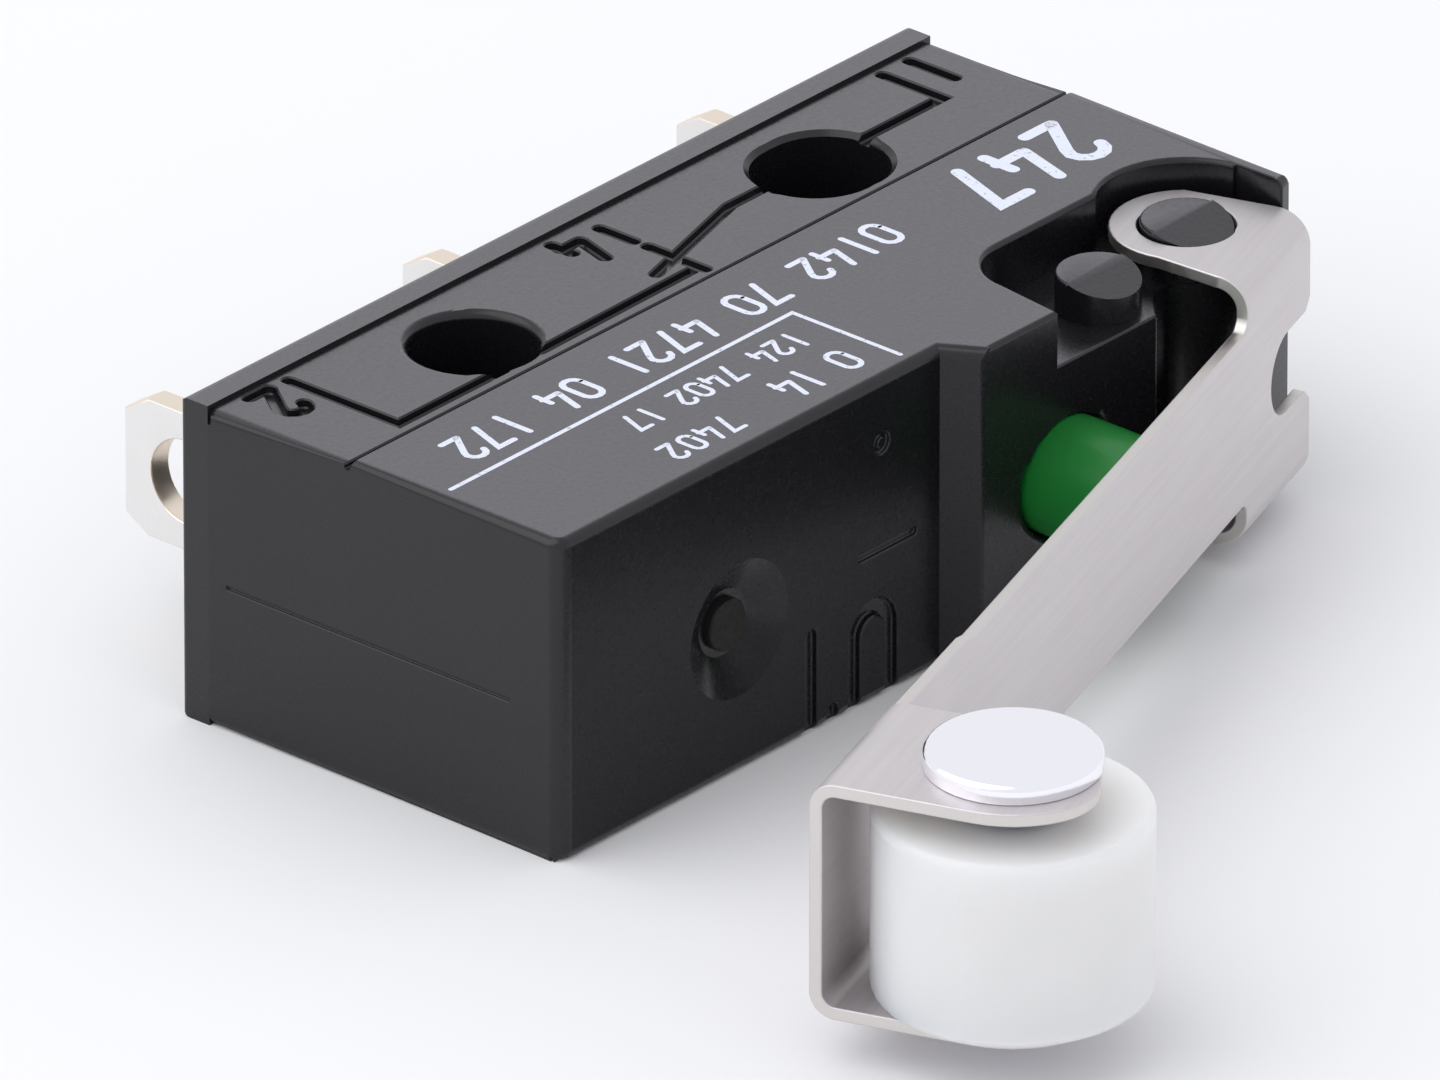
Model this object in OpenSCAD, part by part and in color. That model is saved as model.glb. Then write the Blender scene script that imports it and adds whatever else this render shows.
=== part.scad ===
// Subminiature snap-action micro switch with a roller lever.
// The origin is on the axis of the round mounting hole, at the lower broad face.
// X runs along the body to the lever pivot, Y to the solder tags, Z along the mounting holes.
// All sizes are in millimetres.

/* [Housing] */
// Length of the body
body_l = 19.8; // [19.4:0.1:21]
// Thickness of the body between its broad faces
body_t = 6.4; // [6.2:0.1:7]
// Distance from the round mounting hole to the near end of the body
hole_to_end = 5.15; // [4.9:0.05:5.6]
// Distance from the mounting holes to the back face
back_depth = 2.46; // [2.4:0.02:2.8]
// Distance from the mounting holes to the plain front face
front_depth = 6.55; // [6.45:0.05:6.9]
// How far the plunger block stands out of the plain front face
nose_step = 0.68; // [0.4:0.02:0.9]
// Where the slanted flank of the plunger block starts
nose_x = 5.18; // [4.6:0.02:5.8]
// Run of that flank along the body
nose_flank = 0.4; // [0.2:0.05:0.7]
// Gap between the plunger block and the body round the pivot
nose_to_boss = 1; // [0.9:0.05:1.2]
// How far the far end wall stands out of the plain front face
end_lip = 0.2; // [0.1:0.05:0.3]
// Thickness of the two broad walls
broad_wall = 1; // [0.8:0.05:1.2]
// Thickness of the end walls
end_wall = 0.8; // [0.6:0.05:1]
// Thickness of the plain front wall
front_wall = 0.85; // [0.7:0.05:0.95]
// Radius of the upright corners
corner_r = 0.3; // [0.1:0.05:0.5]
// Depth of the band round the mounting holes below the upper broad face
band_depth = 0.08; // [0.02:0.02:0.2]
// Distance from the mounting holes to the front edge of that band
band_front = 1.6; // [1.45:0.05:2]

/* [Mounting holes] */
// Diameter of the mounting holes
hole_d = 2.4; // [2:0.1:2.6]
// Distance between the two mounting holes
hole_pitch = 9.5; // [9:0.1:10]
// How much longer than wide the second hole is
slot_extra = 0.3; // [0.1:0.05:0.5]
// Wall of the tubes round the holes
tube_wall = 0.5; // [0.35:0.05:0.6]
// Chamfer of the hole mouths in the upper face
mouth_chamfer = 0.1; // [0.05:0.05:0.2]

/* [Gate mark] */
// Distance of the gate mark from the round mounting hole, to the near end
gate_offset = 0.3; // [0:0.1:1]
// Distance of the gate mark below the middle of the front face
gate_drop = 0.35; // [0:0.05:0.6]
// Diameter of the conical gate mark in the front face
gate_d = 2.7; // [2:0.1:3.2]
// Diameter of its floor
gate_floor_d = 1.3; // [1.2:0.05:1.6]
// Depth of the gate mark
gate_depth = 0.4; // [0.2:0.05:0.5]
// Diameter of the sprue stub in its middle
gate_stub_d = 1; // [0.6:0.1:1.2]
// Height of the sprue stub
gate_stub_h = 0.15; // [0.05:0.05:0.2]

/* [Terminal base] */
// Thickness of the strip that closes the back
base_t = 0.66; // [0.5:0.02:0.8]
// How far the base plugs reach into the housing
plug_l = 1.2; // [0.8:0.1:1.6]
// Wall of a plug on each side of its terminal
plug_wall = 0.75; // [0.5:0.05:0.9]
// Clearance of the plugs in the housing
plug_gap = 0.03; // [0.02:0.01:0.08]
// Radius of the long outer edges of the base
base_edge_r = 0.2; // [0.05:0.05:0.3]
// Radius of the upright outer corners of the base
base_corner_r = 0.12; // [0.05:0.01:0.3]

/* [Lever pivot] */
// Distance from the pivot to the far end of the body
pivot_to_end = 2.05; // [1.95:0.05:2.4]
// Distance from the mounting holes to the pivot
pivot_depth = 6.05; // [5.9:0.05:6.2]
// Diameter of the pivot lugs
lug_d = 1.72; // [1.5:0.02:1.8]
// Height of the lugs above the pocket floor
lug_h = 0.74; // [0.65:0.02:0.9]
// Slope of the lead-in on the lugs
lug_slope = 15; // [8:1:20]
// How far behind the middle of a lug its lead-in starts
lug_flat = 0.1; // [0:0.05:0.3]
// Diameter of the collar that the ear runs on
collar_d = 2.3; // [2:0.05:2.4]
// Height of the collar
collar_h = 0.3; // [0.2:0.01:0.34]
// Radial clearance of the ears on the lugs
pivot_gap = 0.05; // [0.02:0.01:0.08]
// Side clearance of the ears on the collars
ear_gap = 0.06; // [0.03:0.01:0.1]
// Distance between the pivot and the spare lugs along the body
spare_lug_pitch = 2.66; // [2.6:0.02:2.8]
// How far the spare lugs stand in front of the pivot
spare_lug_lead = 0.17; // [0:0.01:0.2]
// Diameter of the spare lugs
spare_lug_d = 1.58; // [1.4:0.02:1.7]
// Radius of the body round the pivot
pivot_boss_r = 1.2; // [1.1:0.02:1.3]
// Depth of the ear pockets in the broad faces
pocket_depth = 1.1; // [1:0.05:1.2]
// Distance from the mounting holes to the back wall of the pockets
pocket_back = 4.66; // [4.4:0.02:4.8]
// Length of the pockets from the pivot to the near end
pocket_l = 4.75; // [4.6:0.05:5]
// How much the pockets widen to the front
pocket_flare = 0.3; // [0.1:0.05:0.4]
// Clearance round the ears in the pockets
pocket_gap = 0.24; // [0.15:0.01:0.3]
// Radius of the pocket corner
pocket_r = 1.1; // [0.6:0.1:1.4]
// Wall left between the pockets and the far end of the body
pocket_wall = 0.35; // [0.25:0.01:0.4]
// Wall left between the pockets and the room inside
floor_wall = 0.65; // [0.5:0.05:0.7]
// Wall left between the pockets and the higher part of that room
step_wall = 0.75; // [0.6:0.05:0.9]

/* [Lever] */
// Angle of the free lever to the body
lever_angle = 18.7; // [17:0.1:20]
// Thickness of the lever strip
sheet_t = 0.25; // [0.2:0.01:0.3]
// Distance from the pivot to the outer face of the arm
web_offset = 1.9; // [1.85:0.05:2.1]
// Width of the arm next to the pivot
arm_w_root = 3.46; // [3:0.02:3.6]
// Width of the arm at its shoulder
arm_w_mid = 3.62; // [3.3:0.02:3.8]
// Width of the arm next to the fork
arm_w_tip = 3.9; // [3.6:0.02:4]
// Distance of the shoulder from the pivot
shoulder_u = 15; // [12:0.5:16]
// Length of the shoulder along the arm
shoulder_l = 0.3; // [0.2:0.05:0.5]
// Height of the shoulder
shoulder_h = 0.08; // [0.02:0.01:0.1]
// Radius of the ears
ear_r = 1.42; // [1.3:0.02:1.5]
// Length of the ear root past the pivot
ear_heel = 1.3; // [1.15:0.05:1.35]
// Length of the ear root towards the roller
ear_toe = 1.75; // [1.5:0.05:2]
// Inner radius of the ear bends
ear_bend_r = 0.4; // [0.2:0.05:0.5]
// Fillet between the ear root and the arm
ear_fillet = 0.32; // [0.2:0.02:0.32]
// Width of the slot in the pivot end of the arm
heel_slot_w = 1.6; // [1:0.1:2]
// Depth of that slot
heel_slot_l = 1.9; // [1.2:0.1:2.1]
// Flare of the mouth of that slot
heel_flare = 0.22; // [0.05:0.01:0.3]
// Length over which the arm narrows to the fork bends
fork_taper = 0.4; // [0.2:0.05:0.6]
// Inner radius of the fork bends
fork_bend_r = 0.25; // [0.1:0.05:0.3]
// Radius of the fork cheeks round the axle
cheek_r = 1.95; // [1.8:0.05:2.1]
// Length of the cheeks from the axle towards the pivot
cheek_l = 1.5; // [1.2:0.05:1.8]

/* [Roller] */
// Distance from the pivot to the axle along the arm
roller_u = 20.25; // [19:0.25:22]
// Diameter of the roller
roller_d = 5.05; // [4.6:0.05:5.4]
// Length of the roller
roller_l = 3.6; // [3.4:0.05:3.8]
// Radius of the roller edges
roller_edge_r = 0.15; // [0.05:0.05:0.4]
// Gap between the roller and the arm
roller_gap = 0.315; // [0.15:0.005:0.4]
// Play of the roller between the fork cheeks
fork_play = 0.55; // [0.2:0.05:0.6]
// Gap left under the roller, which lies on the lower cheek
roller_rest_gap = 0.04; // [0.02:0.01:0.08]
// Diameter of the axle
axle_d = 1.8; // [1.4:0.1:2]
// Radial clearance of the roller on the axle
axle_gap = 0.03; // [0.02:0.01:0.08]
// Diameter of the flat rivet head
head_d = 3.22; // [2.8:0.02:3.4]
// Height of the rivet head
head_h = 0.36; // [0.2:0.02:0.4]
// Diameter of the formed rivet end
tail_d = 2.5; // [2.3:0.1:2.8]
// Height of the formed rivet end
tail_h = 0.28; // [0.2:0.02:0.35]
// Chamfer of both rivet ends
head_chamfer = 0.08; // [0.02:0.02:0.12]

/* [Plunger] */
// Distance of the plunger from the round mounting hole
plunger_x = 7.92; // [7.7:0.02:8.1]
// How far the plunger lies below the middle plane
plunger_drop = 0.18; // [0:0.02:0.2]
// Diameter of the plunger
plunger_d = 2.3; // [2:0.05:2.4]
// Radial clearance of the plunger in the block
plunger_gap = 0.04; // [0.02:0.01:0.08]
// Radius of the plunger dome
dome_r = 2; // [1.6:0.1:3]
// Gap between the dome and the free lever
dome_gap = 0.05; // [0.03:0.01:0.08]
// Length of the plunger foot along the body
foot_l = 2.8; // [2.6:0.1:3]
// Thickness of the foot
foot_t = 0.25; // [0.2:0.01:0.28]
// Gap between the foot and the front wall at rest
foot_gap = 0.05; // [0.02:0.01:0.08]
// Room behind the front wall that the plunger moves into
plunger_room = 1.4; // [1.3:0.05:1.6]
// Radius of the nose on the foot
nose_r = 0.25; // [0.2:0.01:0.3]
// Gap between the nose and the rocker
nose_gap = 0.03; // [0.02:0.01:0.05]

/* [Terminals] */
// How far the middle terminal lies past the middle between the mounting holes
terminal_shift = 0.1; // [0:0.05:0.2]
// Distance between neighbouring terminals
terminal_pitch = 7.55; // [7.4:0.05:7.65]
// Thickness of the terminals
terminal_t = 0.5; // [0.4:0.05:0.6]
// Width of the terminals
terminal_w = 2.75; // [2.5:0.05:2.8]
// Length of the tags outside the body
tag_l = 3.3; // [3:0.1:4]
// Diameter of the solder eye
eye_d = 1.65; // [1.2:0.05:1.8]
// Distance from the tag end to the solder eye
eye_to_tip = 1.45; // [1.3:0.05:1.6]
// Length of the chamfers at the tag end
tag_chamfer = 0.55; // [0.2:0.05:0.7]
// Depth of the chamfers at the tag end
tag_nip = 0.33; // [0.1:0.01:0.4]
// Inner radius of the terminal bends
terminal_bend_r = 0.2; // [0.1:0.05:0.3]

/* [Snap mechanism] */
// Distance of the contacts from the round mounting hole
contact_x = 0.5; // [0.2:0.1:0.8]
// Gap between the tube of the round hole and the contact strip before it
strip_gap = 0.16; // [0.1:0.02:0.25]
// Radius of the contact bars
contact_r = 0.3; // [0.2:0.02:0.32]
// Length of the contact bars
contact_l = 1.2; // [0.9:0.1:1.3]
// Travel of the moving contact
contact_travel = 0.42; // [0.35:0.01:0.45]
// Gap left where two contacts meet
contact_gap = 0.02; // [0.01:0.01:0.03]
// Thickness of the contact arm
arm_t = 0.25; // [0.15:0.01:0.28]
// Side clearance of the inner pieces below the pockets
side_gap = 0.06; // [0.04:0.01:0.1]
// Width of the legs beside its window
leg_w = 0.36; // [0.3:0.02:0.4]
// Distance from the trunnion to the arm's seat, to the back
seat_offset = 0.9; // [0.85:0.01:0.95]
// Clearance of the arm in its seat
seat_gap = 0.04; // [0.02:0.01:0.05]
// How far the common terminal reaches past the seat
seat_lip = 0.3; // [0.25:0.01:0.35]
// Length of the wide end of the common terminal behind the seat
seat_l = 1; // [0.8:0.05:1.2]
// Distance from the seat to the window in the arm
window_start = 0.75; // [0.6:0.05:0.9]
// Distance of the spring bar on the arm from the contacts
hook_offset = 1.9; // [1.7:0.1:2.2]
// Width of the bar on the arm that carries a spring hook
hook_bar = 0.35; // [0.3:0.05:0.4]
// Width of the slots that the spring hooks pass through
hook_slot = 0.4; // [0.3:0.05:0.5]
// Gap between the spring hooks and their bars
hook_gap = 0.08; // [0.05:0.01:0.1]
// Diameter of the rocker trunnion
trunnion_d = 0.8; // [0.7:0.05:0.85]
// Distance from the trunnion to the far end of the body
trunnion_to_end = 1.75; // [1.7:0.05:1.8]
// Distance from the front wall to the trunnion
trunnion_offset = 0.5; // [0.48:0.01:0.55]
// Clearance of the trunnion in its saddle
trunnion_gap = 0.05; // [0.02:0.01:0.07]
// Play of the trunnion at each end
trunnion_play = 0.05; // [0.03:0.01:0.08]
// Thickness of the rocker
rocker_t = 0.45; // [0.35:0.05:0.5]
// Gap between the rocker and the legs of the arm
window_gap = 0.15; // [0.1:0.01:0.2]
// Angle of the rocker at rest
rocker_angle = 6; // [5:0.5:7]
// Length of the rocker past the plunger
rocker_tip = 0.95; // [0.9:0.05:1]
// Wire of the snap spring
wire_d = 0.14; // [0.1:0.01:0.16]
// Outer diameter of the snap spring
spring_d = 0.9; // [0.7:0.05:1]
// Distance between neighbouring turns of the spring
spring_pitch = 0.3; // [0.22:0.01:0.4]

/* [Hidden] */
$fn = 64;

// Overlap of joined shapes
eps = 0.01;
// How far a cutter runs past the surface it opens
over = 1;
// Longer than any piece
reach = 30;

// Body planes
mid_z = body_t / 2;
near_x = -hole_to_end;
far_x = body_l - hole_to_end;
back_y = back_depth;
base_y = back_y - base_t;
front_y = -front_depth;
nose_y = front_y - nose_step;
cavity_y = front_y + front_wall;
tube_r = hole_d / 2 + tube_wall;

// Pivot and ear pockets
pivot = [far_x - pivot_to_end, -pivot_depth];
spare = [pivot.x - spare_lug_pitch, pivot.y - spare_lug_lead];
pocket_floor = mid_z - pocket_depth;
// Top of the ears, the collars and the pocket floor above the middle plane
ear_bottom = pocket_floor + collar_h + ear_gap;
ear_top = ear_bottom + sheet_t;
pocket_x = pivot.x - pocket_l;
pocket_swing_r = ear_r + pocket_gap;
nose_end = pivot.x - pivot_boss_r - nose_to_boss;
lip_y = front_y - end_lip;
// Where the body round the pivot runs out into the end wall, in radii of that round body
boss_flank = [0.5, -0.96];
low_ceiling = pocket_floor - floor_wall;
high_ceiling = mid_z - broad_wall;

// Lever frame: u along the arm, v away from the body, both from the pivot
web_in = web_offset - sheet_t;
roller_v = web_offset + roller_gap + roller_d / 2;
fork_z = (roller_l + fork_play) / 2 + sheet_t;
roller_drop = fork_play / 2 - roller_rest_gap;
fork_start = roller_u - cheek_l;
lever_end = roller_u + cheek_r;
ear_bend_out = ear_bend_r + sheet_t;
fork_bend_out = fork_bend_r + sheet_t;
fork_bend_z = fork_z - fork_bend_out;

// Plunger
dome_center = [plunger_x, lever_inner_y(plunger_x) + (dome_r + dome_gap) / cos(lever_angle)];
dome_y = dome_center.y - dome_r;
foot_y = cavity_y + foot_gap;
plunger_bore_d = plunger_d + 2 * plunger_gap;
plunger_z = mid_z - plunger_drop;

// Terminals
no_x = hole_pitch / 2 + terminal_shift;
nc_x = no_x - terminal_pitch;
common_x = no_x + terminal_pitch;
tag_tip = back_y + tag_l;

// Snap mechanism
inner_half = low_ceiling - side_gap;
trunnion = [far_x - trunnion_to_end, cavity_y + trunnion_offset];
seat = [common_x - terminal_t / 2, trunnion.y + seat_offset];
no_face = -tube_r - strip_gap - terminal_t;
no_crest = no_face - contact_r;
rest_y = no_crest - contact_travel - contact_r - arm_t / 2;
nc_crest = rest_y - arm_t / 2 - contact_r - contact_gap;
nc_face = nc_crest - contact_r;
arm_angle = atan2(rest_y - seat.y, seat.x - contact_x);
arm_l = (seat.x - contact_x) / cos(arm_angle);
arm_w = 2 * inner_half;
rocker_front = lever_rocker_y(plunger_x);
nose_crest = rocker_front - nose_gap / cos(rocker_angle);
rocker_l = (trunnion.x - plunger_x + rocker_tip) / cos(rocker_angle);
window_w = arm_w - 2 * leg_w;
rocker_w = window_w - 2 * window_gap;
hook_u = arm_l - hook_offset;
arm_hook_r = hook_bar / 2 + hook_gap + wire_d / 2;
rocker_hook_r = rocker_t / 2 + hook_gap + wire_d / 2;
arm_hook = seat + turned([hook_u, 0], 180 - arm_angle);
rocker_hook = trunnion + turned([rocker_l - rocker_t / 2, 0], 180 - rocker_angle);

// Y of the arm's inner face at a place along the body, with the lever free
function lever_inner_y(x) =
    pivot.y - (pivot.x - x) * tan(lever_angle) - web_in / cos(lever_angle);

// Y of the rocker's front face at a place along the body, at rest
function lever_rocker_y(x) =
    trunnion.y + (trunnion.x - x) * tan(rocker_angle) - rocker_t / 2 / cos(rocker_angle);

// A plane vector turned about Z
function turned(p, a) = [p.x * cos(a) - p.y * sin(a), p.x * sin(a) + p.y * cos(a)];

// Parallel transport of a normal to the next direction of a path
function carried(n, t) = let (m = n - (n * t) * t) m / norm(m);

// Direction of a path at each of its points
function directions(p) = [
    for (i = [0:len(p) - 1])
        let (d = p[min(i + 1, len(p) - 1)] - p[max(i - 1, 0)]) d / norm(d)
];

// Normals that follow a path without twisting
function normals(t, first) = [
    for (i = 0, n = carried(first, t[0]); i < len(t); i = i + 1, n = i < len(t) ? carried(n, t[i]) : n) n
];

// A box from its lowest to its highest corner
module box(low, high) {
    translate(low)
        cube(high - low);
}

// A plane outline between two heights
module slab(z0, z1) {
    translate([0, 0, z0])
        linear_extrude(z1 - z0)
            children();
}

// The same solid on both sides of the middle plane
module both_sides() {
    children();
    translate([0, 0, body_t])
        mirror([0, 0, 1])
            children();
}

// A quarter ring in the first quadrant
module quarter_ring(r_in, r_out) {
    intersection() {
        difference() {
            circle(r_out);
            circle(r_in);
        }
        square(r_out);
    }
}

// What a square corner loses to a fillet, with the corner at the origin
module corner_cut(r) {
    difference() {
        translate([-eps, -eps])
            square(r + eps);
        translate([r, r])
            circle(r);
    }
}

// A tube of one wire diameter along a path
module wire(path, d, sides = 8) {
    t = directions(path);
    n = normals(t, [0, 0, 1]);
    points = [
        for (i = [0:len(path) - 1], k = [0:sides - 1])
            let (a = 360 * k / sides)
            path[i] + d / 2 * (cos(a) * n[i] + sin(a) * cross(t[i], n[i]))
    ];
    last = (len(path) - 1) * sides;
    walls = [
        for (i = [0:len(path) - 2], k = [0:sides - 1])
            let (j = (k + 1) % sides)
            [i * sides + k, (i + 1) * sides + k, (i + 1) * sides + j, i * sides + j]
    ];
    caps = [[for (k = [0:sides - 1]) k], [for (k = [sides - 1:-1:0]) last + k]];
    polyhedron(points, concat(caps, walls), convexity = 10);
}

// Plan of the housing, from its joint with the base to the front
module housing_plan() {
    difference() {
        polygon([
            [near_x, base_y],
            [near_x, front_y],
            [nose_x, front_y],
            [nose_x + nose_flank, nose_y],
            [nose_end, nose_y],
            [nose_end + nose_step, front_y],
            [pivot.x, front_y],
            [far_x, lip_y],
            [far_x, base_y]
        ]);
        translate([near_x, front_y])
            corner_cut(corner_r);
    }
    translate(pivot)
        circle(pivot_boss_r);
    polygon([
        [pivot.x, front_y + eps],
        [pivot.x, pivot.y - pivot_boss_r],
        pivot + pivot_boss_r * boss_flank,
        [far_x, lip_y],
        [far_x, front_y + eps]
    ]);
}

// Plan of an ear pocket, open to the front
module pocket_plan() {
    swing_x = far_x - pocket_wall;
    translate(pivot)
        circle(pocket_swing_r);
    polygon([
        [pocket_x - pocket_flare, nose_y - over],
        [pocket_x, -pocket_back - pocket_r],
        [swing_x, -pocket_back - pocket_r],
        [swing_x, nose_y - over]
    ]);
    translate([pocket_x + pocket_r, -pocket_back - pocket_r])
        circle(pocket_r);
    translate([pocket_x + pocket_r, -pocket_back - pocket_r - eps])
        square([pocket_l - pocket_r, pocket_r + eps]);
}

// Notch in the end wall below the pivot, so that the lower ear can be slipped on from the side
module end_notch() {
    low = mid_z - pocket_floor;
    box([far_x - pocket_wall - eps, nose_y - over, -over], [far_x + over, pivot.y, low]);
}

// Plan of the second mounting hole or of its tube
module slot_plan(r) {
    translate([hole_pitch, 0]) {
        for (s = [-1, 1])
            translate([s * slot_extra / 2, 0])
                circle(r);
        translate([-slot_extra / 2, -r])
            square([slot_extra, 2 * r]);
    }
}

// The room inside the housing
module cavity() {
    in_x = near_x + end_wall;
    out_x = far_x - end_wall;
    step = [pocket_x - step_wall, step_wall - pocket_back];
    open_y = base_y + over;
    box([in_x, cavity_y, mid_z - low_ceiling], [out_x, open_y, mid_z + low_ceiling]);
    box([in_x, cavity_y, mid_z - high_ceiling], [step.x, open_y, mid_z + high_ceiling]);
    box([in_x, step.y, mid_z - high_ceiling], [out_x, open_y, mid_z + high_ceiling]);
}

// A lug with its lead-in slope on the front side
module lug(at, d) {
    top = mid_z - pocket_floor - lug_h;
    difference() {
        translate([at.x, at.y, top])
            cylinder(h = lug_h + eps, d = d);
        translate([at.x, at.y + lug_flat, top])
            rotate([-lug_slope, 0, 0])
                translate([-d, -2 * d, -d])
                    cube([2 * d, 2 * d, d]);
    }
}

// Gate mark: a cone with a sprue stub left in the middle
module gate_mark() {
    translate([-gate_offset, front_y, mid_z - gate_drop])
        rotate([-90, 0, 0])
            difference() {
                translate([0, 0, -eps])
                    cylinder(h = gate_depth + eps, d1 = gate_d, d2 = gate_floor_d);
                translate([0, 0, gate_depth - gate_stub_h])
                    cylinder(h = gate_stub_h + eps, d = gate_stub_d);
            }
}

// Saddle for the rocker trunnion on the inside of the front wall
module trunnion_saddle() {
    difference() {
        box([trunnion.x - trunnion_d, cavity_y - eps, mid_z - low_ceiling - eps],
            [far_x - end_wall + eps, trunnion.y - trunnion_d / 4, mid_z + low_ceiling + eps]);
        translate([trunnion.x, trunnion.y, 0])
            cylinder(h = body_t, d = trunnion_d + 2 * trunnion_gap);
    }
}

module housing() {
    color("#2b2b2f")
        difference() {
            union() {
                difference() {
                    slab(0, body_t)
                        housing_plan();
                    both_sides()
                        slab(-over, mid_z - pocket_floor)
                            pocket_plan();
                    end_notch();
                    cavity();
                }
                slab(broad_wall / 2, body_t - broad_wall / 2) {
                    circle(tube_r);
                    slot_plan(tube_r);
                }
                both_sides() {
                    lug(pivot, lug_d);
                    lug(spare, spare_lug_d);
                    translate([pivot.x, pivot.y, mid_z - pocket_floor - collar_h])
                        cylinder(h = collar_h + eps, d = collar_d);
                }
                trunnion_saddle();
            }
            box([near_x - over, -band_front, body_t - band_depth],
                [far_x + over, base_y + over, body_t + over]);
            slab(-over, body_t + over) {
                circle(d = hole_d);
                slot_plan(hole_d / 2);
            }
            mouth_z = body_t - band_depth;
            translate([0, 0, mouth_z - mouth_chamfer])
                cylinder(h = 2 * mouth_chamfer, d1 = hole_d, d2 = hole_d + 4 * mouth_chamfer);
            for (s = [-1, 1])
                translate([hole_pitch + s * slot_extra / 2, 0, mouth_z - mouth_chamfer])
                    cylinder(h = 2 * mouth_chamfer, d1 = hole_d, d2 = hole_d + 4 * mouth_chamfer);
            translate([plunger_x, cavity_y + plunger_room, plunger_z])
                rotate([90, 0, 0])
                    cylinder(h = plunger_room + front_wall + nose_step + over, d = plunger_bore_d);
            gate_mark();
        }
}

// Plugs of the base: one round each terminal, between the tubes
module base_plug(x) {
    w = terminal_t + 2 * plug_wall;
    h = high_ceiling - plug_gap;
    left = max(x - w / 2, near_x + end_wall + plug_gap);
    right = min(x + w / 2, far_x - end_wall - plug_gap);
    box([left, base_y - plug_l, mid_z - h], [right, base_y + eps, mid_z + h]);
}

module terminal_base() {
    color("#26262a")
        difference() {
            union() {
                difference() {
                    slab(0, body_t)
                        difference() {
                            translate([near_x, base_y])
                                square([body_l, base_t]);
                            translate([near_x, back_y])
                                mirror([0, 1])
                                    corner_cut(base_corner_r);
                            translate([far_x, back_y])
                                rotate(180)
                                    corner_cut(base_corner_r);
                        }
                    both_sides()
                        translate([near_x - over, back_y, 0])
                            rotate([90, 0, 90])
                                linear_extrude(body_l + 2 * over)
                                    mirror([1, 0])
                                        corner_cut(base_edge_r);
                }
                difference() {
                    for (x = [nc_x, no_x, common_x])
                        base_plug(x);
                    slab(-over, body_t + over) {
                        circle(tube_r + plug_gap);
                        slot_plan(tube_r + plug_gap);
                    }
                }
            }
            for (x = [nc_x, no_x, common_x])
                box([x - terminal_t / 2, base_y - plug_l - over, mid_z - terminal_w / 2],
                    [x + terminal_t / 2, back_y + over, mid_z + terminal_w / 2]);
        }
}

// Flat blade of a terminal, from its inner end to the tag
module terminal_blade(x, inner_y) {
    translate([x - terminal_t / 2, 0, mid_z])
        rotate([90, 0, 90])
            linear_extrude(terminal_t)
                difference() {
                    polygon([
                        [inner_y, -terminal_w / 2],
                        [tag_tip - tag_chamfer, -terminal_w / 2],
                        [tag_tip, -terminal_w / 2 + tag_nip],
                        [tag_tip, terminal_w / 2 - tag_nip],
                        [tag_tip - tag_chamfer, terminal_w / 2],
                        [inner_y, terminal_w / 2]
                    ]);
                    translate([tag_tip - eye_to_tip, 0])
                        circle(d = eye_d);
                }
}

// Terminal whose inner end is bent along the body to carry a contact on one face
module bent_terminal(x, strip_y, end_x) {
    side = end_x > x ? 1 : -1;
    r_out = terminal_bend_r + terminal_t;
    bend = [x + side * (r_out - terminal_t / 2), strip_y + r_out];
    terminal_blade(x, bend.y - eps);
    slab(mid_z - terminal_w / 2, mid_z + terminal_w / 2) {
        translate(bend)
            mirror([side > 0 ? 1 : 0, 0])
                mirror([0, 1])
                    quarter_ring(terminal_bend_r, r_out);
        translate([min(bend.x - side * eps, end_x), strip_y])
            square([abs(end_x - bend.x + side * eps), terminal_t]);
    }
}

module normally_closed_terminal() {
    color("#cdc6b8")
        bent_terminal(nc_x, nc_face - terminal_t, contact_x + contact_l);
}

module normally_open_terminal() {
    color("#cdc6b8")
        bent_terminal(no_x, no_face, contact_x - contact_l);
}

module common_terminal() {
    wide_y = seat.y + seat_l;
    color("#cdc6b8")
        difference() {
            union() {
                terminal_blade(common_x, wide_y);
                box([common_x - terminal_t / 2, seat.y - seat_lip, mid_z - inner_half],
                    [common_x + terminal_t / 2, wide_y + eps, mid_z + inner_half]);
            }
            translate([seat.x, seat.y, 0])
                cylinder(h = body_t, r = arm_t / 2 + seat_gap);
        }
}

// Half-round contact bar that stands on a face at y, along Z or along X
module contact_bar(y, side, along_z) {
    translate([contact_x, y, mid_z])
        rotate(along_z ? [0, 0, 0] : [0, 90, 0])
            intersection() {
                cylinder(h = contact_l, r = contact_r, center = true);
                translate([-contact_r, side > 0 ? 0 : -contact_r, -contact_l])
                    cube([2 * contact_r, contact_r, 2 * contact_l]);
            }
}

module normally_closed_contact() {
    color("gold")
        contact_bar(nc_face, 1, true);
}

module normally_open_contact() {
    color("gold")
        contact_bar(no_face, -1, true);
}

// Turns a solid drawn along X from the seat, at y 0, to the arm's place at rest
module on_arm() {
    translate([seat.x, seat.y, 0])
        rotate(180 - arm_angle)
            children();
}

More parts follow.
